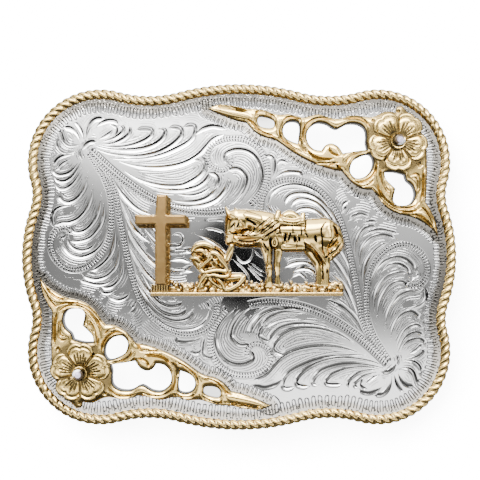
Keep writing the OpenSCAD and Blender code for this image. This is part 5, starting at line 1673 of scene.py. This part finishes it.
RIDER_LIMBS = [
    # Head, bowed back, chest and lap
    [(-8.8, 1.0, 2.4, 2.3), (-7.4, 1.3, 2.2, 2.4), (-5.9, 0.9, 2.0, 2.3), (-4.6, -0.2, 1.8, 2.2),
        (-3.9, -1.8, 1.7, 2.1), (-3.3, -3.4, 1.5, 2.0), (-2.8, -4.8, 1.2, 1.8)],
    [(-10.1, -0.4, 1.2, 2.1), (-9.3, -1.6, 1.1, 2.0), (-8.7, -2.7, 0.9, 1.9)],
    [(-7.0, -1.2, 1.8, 1.7), (-6.3, -3.2, 1.9, 1.8), (-5.8, -4.6, 1.8, 1.7)],
    [(-8.4, -4.8, 1.2, 1.6), (-6.6, -5.8, 1.4, 1.5), (-4.4, -5.8, 1.6, 1.6)],
    # Hat: crown and brim
    [(-10.6, 1.6, 0.6, 2.6), (-9.7, 2.6, 0.8, 2.9), (-8.3, 3.0, 0.85, 3.0), (-7.0, 2.7, 0.8, 2.9),
        (-6.0, 2.1, 0.6, 2.7)],
    [(-11.0, -0.3, 0.45, 2.3), (-10.0, -0.2, 0.5, 2.6), (-9.2, -0.8, 0.5, 2.5)],
    [(-9.6, 1.4, 0.55, 2.8), (-8.6, 1.5, 0.6, 2.95), (-7.9, 0.8, 0.55, 2.8)],
    # Arms
    [(-7.1, 0.3, 0.55, 2.8), (-6.1, 1.0, 0.65, 3.1), (-4.9, 0.5, 0.7, 3.1), (-4.1, -0.7, 0.65, 3.0),
        (-3.2, -1.8, 0.6, 2.8), (-2.7, -2.8, 0.5, 2.6)],
    [(-8.8, -2.2, 0.5, 2.4), (-7.5, -1.2, 0.55, 2.7), (-6.4, -0.1, 0.55, 2.9)],
    [(-5.5, -0.8, 0.62, 2.8), (-5.2, -1.5, 0.5, 2.6)],
    [(-9.0, -2.9, 0.5, 2.2), (-8.3, -3.4, 0.55, 2.4)],
    # Thighs, shins and boot
    [(-7.6, -3.5, 0.5, 2.6), (-5.2, -3.05, 0.58, 2.8), (-3.2, -3.3, 0.55, 2.7)],
    [(-7.2, -4.2, 0.45, 2.5), (-5.8, -4.1, 0.5, 2.7), (-4.2, -4.45, 0.55, 2.7), (-2.6, -4.3, 0.5, 2.5),
        (-2.1, -3.2, 0.45, 2.4)],
    [(-7.0, -4.4, 0.5, 2.4), (-5.9, -5.8, 0.52, 2.4), (-4.2, -7.1, 0.5, 2.0)],
    [(-5.3, -4.8, 0.45, 2.4), (-4.1, -5.9, 0.48, 2.3), (-3.5, -7.1, 0.45, 2.0)],
    [(-9.4, -6.8, 0.5, 1.9), (-8.6, -5.2, 0.55, 2.2), (-7.8, -4.2, 0.5, 2.3)],
    [(-8.5, -6.8, 0.45, 1.9), (-7.6, -5.5, 0.45, 2.1), (-7.2, -4.6, 0.4, 2.2)],
    [(-3.5, -7.6, 0.6, 1.8), (-1.8, -7.3, 0.7, 2.1), (-0.3, -6.4, 0.7, 2.2), (0.7, -5.3, 0.65, 2.1),
        (1.1, -4.6, 0.6, 2.0)],
    [(-1.6, -4.7, 1.2, 1.7), (0.4, -4.5, 0.9, 1.7)],
    [(-2.7, -0.4, 0.8, 1.9), (-2.1, 1.2, 0.8, 2.1), (-1.7, 2.6, 0.65, 2.1)],
]
RIDER_STROKES = [
    (0.55, -0.80, [(-7.9, -2.4), (-7.1, -1.9), (-6.3, -2.2)]),
    (0.22, -0.60, [(-5.5, -0.8), (-5.4, -0.9)]),
    (0.30, -0.60, [(-4.8, -0.6), (-4.6, -1.0)]),
    (0.20, -0.45, [(-9.9, 0.5), (-9.0, 0.5), (-8.2, 0.0), (-7.9, -0.7)]),
    (0.18, -0.45, [(-10.2, 1.6), (-9.3, 2.1), (-8.2, 2.2), (-7.2, 1.7), (-6.6, 1.0)]),
    (0.16, -0.35, [(-9.0, -0.2), (-8.3, -0.8), (-7.7, -0.7)]),
    (0.20, -0.50, [(-6.4, 1.9), (-5.2, 1.7), (-4.0, 0.7), (-3.4, -0.4)]),
    (0.20, -0.55, [(-4.9, -1.6), (-4.3, -2.4), (-3.6, -2.5)]),
    (0.16, -0.40, [(-2.9, -1.0), (-2.4, -2.2), (-2.2, -3.0)]),
    (0.18, -0.50, [(-7.4, -3.85), (-5.4, -3.6), (-3.2, -3.85)]),
    (0.18, -0.50, [(-6.4, -4.7), (-5.2, -6.0), (-4.0, -6.8)]),
    (0.18, -0.50, [(-4.6, -4.9), (-3.2, -5.6), (-2.6, -6.6)]),
    (0.18, -0.50, [(-8.2, -6.6), (-7.2, -5.0)]),
    (0.20, -0.50, [(-1.4, -6.4), (-0.2, -5.6), (0.2, -4.9)]),
]
# Patches of browner gold that are painted shade: x, y, half-widths and slope
HORSE_SHADE_PATCHES = [
    (1.7, 4.4, 2.9, 0.55, -0.1), (0.9, 5.9, 1.3, 0.6, 0.5), (22.2, 5.6, 0.5, 1.4, 0.4),
    (-2.4, 8.8, 0.7, 1.6, 0), (12.6, 1.3, 2.6, 0.4, 0), (18.2, 0.2, 0.5, 1.8, 0.6), (2.4, 7.1, 0.8, 0.5, 0),
]
RIDER_SHADE_PATCHES = [
    (-7.1, -2.0, 1.1, 0.8, 0), (-1.7, -4.1, 0.9, 0.9, 0), (-9.4, 0.9, 0.9, 0.8, 0),
    (-4.6, 1.9, 0.9, 0.5, -0.7), (-8.0, -5.6, 0.8, 0.6, 0.5),
]


class OBJECT_OT_buckle_figures(bpy.types.Operator):
    """Models the saddled horse and the kneeling rider as gold reliefs"""
    bl_idname = "buckle.figures"
    bl_label = "Horse and rider"

    def execute(self, context):
        gold = polished_gold("figure_gold", colours().gold, colours().deep_gold, 0.13, (0.22, 0.155, 0.08))
        for node, rows, strokes, shade_patches in (("horse", HORSE_LIMBS, HORSE_STROKES, HORSE_SHADE_PATCHES),
                                          ("rider", RIDER_LIMBS, RIDER_STROKES, RIDER_SHADE_PATCHES)):
            limbs = [Limb(row) for row in rows]
            lo = np.min([limb.rows[:, :2].min(0) for limb in limbs], 0) - 4.5
            hi = np.max([limb.rows[:, :2].max(0) for limb in limbs], 0) + 4.5
            loops = contours(lambda p: limbs_height(p, limbs)[1], lo, hi, 0.14)
            loops = [loops[0]] + [loop for loop in loops[1:] if inside(loop[:1], loops[0])[0]]
            # The gold is darker where the relief lies low: painted shade
            sculpted(f"{node}_relief", loops, [Stroke(*row) for row in strokes],
                     lambda p: limbs_height(p, limbs)[0], gold, [node], 0.19, False, 60, (), 0.05,
                     lambda p: np.clip((1.45 - limbs_height(p, limbs)[0]) / 0.8, 0, 1), shade_patches)
        return {"FINISHED"}


# ------------------------------------------------------------------------------ the back
class OBJECT_OT_buckle_back(bpy.types.Operator):
    """Gives the loop and the hook on the back their satin finish"""
    bl_idname = "buckle.back"
    bl_label = "Back"

    def execute(self, context):
        for node in ("belt_loop", "belt_hook"):
            for slot in bpy.data.objects[node].material_slots:
                slot.material = fitting_silver(colours().back)
        return {"FINISHED"}


# ------------------------------------------------------------------------------ the stage
class OBJECT_OT_buckle_stage(bpy.types.Operator):
    """Sets the pale floor, the soft studio light and the camera"""
    bl_idname = "buckle.stage"
    bl_label = "Floor, light and camera"

    def execute(self, context):
        bpy.ops.object.select_all(action="DESELECT")
        bpy.ops.mesh.primitive_plane_add(size=4.0)
        floor = bpy.context.object
        floor.name = "floor"
        shader = material("floor_white")
        shader.surface(colour=tuple(colours().floor), roughness=0.9, emission=(1.0, 1.0, 1.0), glow=9.0)
        floor.data.materials.append(bpy.data.materials["floor_white"])
        floor.visible_glossy = False
        # Light for the floor alone, from the upper left, for a soft shadow at the lower right
        lamp = bpy.data.lights.new("floor_light", "SUN")
        lamp.energy, lamp.angle = 26.0, math.radians(50)
        sun = bpy.data.objects.new("floor_light", lamp)
        sun.rotation_euler = (math.radians(-28), math.radians(-32), 0)
        sun.visible_glossy = False
        bpy.context.scene.collection.objects.link(sun)

        world = bpy.data.worlds.new("studio")
        bpy.context.scene.world = world
        sky = Shader(world)
        where = sky.node("ShaderNodeTexCoord").outputs["Generated"]
        apart = sky.node("ShaderNodeSeparateXYZ", None, {0: where})
        x, y, z = (sky.value(apart.outputs[i]) for i in range(3))

        def spot(at_x, at_y, inner, outer):
            """1 within inner of a direction near the zenith, 0 beyond outer."""
            away = ((x - at_x) * (x - at_x) + (y - at_y) * (y - at_y)).power(0.5)
            return 1 - away.between(inner, outer)

        def ramp(v, low, high):
            """0 below low, 1 above high, and straight in between."""
            return ((v - low) / (high - low)).maths("MAXIMUM", 0).maths("MINIMUM", 1)

        left, below = x * -1, y * -1
        # The large soft box beyond the upper edge, brightest a little left of the middle
        top = ramp(y, -0.02, 0.28).power(2.5) * (1 - y.between(0.45, 0.7) * 0.4) * 6.0
        top = top * (1 - y.between(0.26, 0.29) * (1 - y.between(0.36, 0.40)) * 0.92)
        top = top * (1 - (left - y * 0.75).between(0.04, 0.28) * 0.80)
        top = top * (1 - (x - y * 0.4).between(0.0, 0.25) * 0.8)
        # White card below, narrow strip lights left and right, and the dark of the room low down
        card = below.between(0.10, 0.25) * 1.4 + below.between(0.16, 0.25) * 1.1
        card = card * (1 - below.between(0.34, 0.46)) + below.between(0.2, 0.4) * 0.2
        right = x.between(0.08, 0.35) * (1 - x.between(0.42, 0.5)) * y.between(-0.1, 0.05) * 0.5
        strips = left.between(0.62, 0.68) * (1 - left.between(0.78, 0.85)) * y.between(-0.4, 0.1) * 1.2
        strips = strips + x.between(0.68, 0.72) * (1 - x.between(0.82, 0.86)) * y.between(-0.5, 0.1) * 1.2
        low = (x * x + y * y).power(0.5)
        light = top + card + right + strips + (1 - low.between(0.34, 0.48)) * 0.12
        light = light + (1 - low.between(0.55, 0.75)) * 0.12 + 0.05
        light = light * (1 - below.between(0.55, 0.7) * 0.6)
        # The dark of the camera
        lean = (x + 0.012 + y * 0.35) * 1.6
        tall = (lean * lean + (y + 0.045) * (y + 0.045)).power(0.5)
        light = light * (1 - (1 - tall.between(0.106, 0.124)) * (0.98 - below.between(0.09, 0.13) * 0.3))
        # A bright strip and small lamps, which only curved or cut metal shows
        strip = y.between(0.41, 0.49) * (1 - y.between(0.66, 0.74)) * (1 - x.size().between(0.35, 0.6))
        light = light + strip * 16
        light = light + spot(-0.22, 0.47, 0.03, 0.09) * 22 + spot(0.48, 0.34, 0.03, 0.08) * 16
        light = light + spot(0.42, -0.46, 0.03, 0.08) * 9 + spot(-0.52, -0.30, 0.03, 0.08) * 9
        # What the metal sees below the horizon
        over, low = z.between(-0.15, 0.02), y.between(-0.3, 0.6) * 0.3 + 0.28
        light = light * over + (1 - over) * low
        back = sky.node("ShaderNodeBackground", None, {"Color": (1, 1, 1, 1), "Strength": light})
        sky.node("ShaderNodeOutputWorld", None, {"Surface": back.outputs[0]})

        # The frame is 112.1 mm wide at the mean height of the face
        camera = bpy.data.cameras.new("camera")
        camera.sensor_width = 36
        height = sizes().camera_height
        camera.lens = camera.sensor_width * (height - 7.5 * MM) / (112.1 * MM)
        eye = bpy.data.objects.new("camera", camera)
        eye.location = (0.23 * MM, 3.97 * MM, height)
        bpy.context.scene.collection.objects.link(eye)
        bpy.context.scene.camera = eye
        return {"FINISHED"}


CLASSES = [BuckleSizes, BuckleColours, OBJECT_OT_buckle_plate, OBJECT_OT_buckle_rope,
           OBJECT_OT_buckle_corners, OBJECT_OT_buckle_flowers, OBJECT_OT_buckle_cross,
           OBJECT_OT_buckle_ground, OBJECT_OT_buckle_figures, OBJECT_OT_buckle_back,
           OBJECT_OT_buckle_stage]
STEPS = ["plate", "rope", "corners", "flowers", "cross", "ground", "figures", "back", "stage"]


class VIEW3D_PT_buckle(bpy.types.Panel):
    """Lists the buckle's pieces, sizes and colours"""
    bl_label = "Buckle"
    bl_idname = "VIEW3D_PT_buckle"
    bl_space_type = "VIEW_3D"
    bl_region_type = "UI"
    bl_category = "Buckle"

    def draw(self, context):
        for step in STEPS:
            self.layout.operator(f"buckle.{step}")
        for group in (sizes(), colours()):
            for name in group.bl_rna.properties.keys():
                if name not in ("rna_type", "name"):
                    self.layout.prop(group, name)


def register():
    for each in CLASSES + [VIEW3D_PT_buckle]:
        bpy.utils.register_class(each)
    bpy.types.Scene.buckle_sizes = PointerProperty(type=BuckleSizes)
    bpy.types.Scene.buckle_colours = PointerProperty(type=BuckleColours)


def unregister():
    del bpy.types.Scene.buckle_sizes
    del bpy.types.Scene.buckle_colours
    for each in reversed(CLASSES + [VIEW3D_PT_buckle]):
        bpy.utils.unregister_class(each)


def main():
    register()
    for step in STEPS:
        getattr(bpy.ops.buckle, step)()


if __name__ == "__main__":
    main()
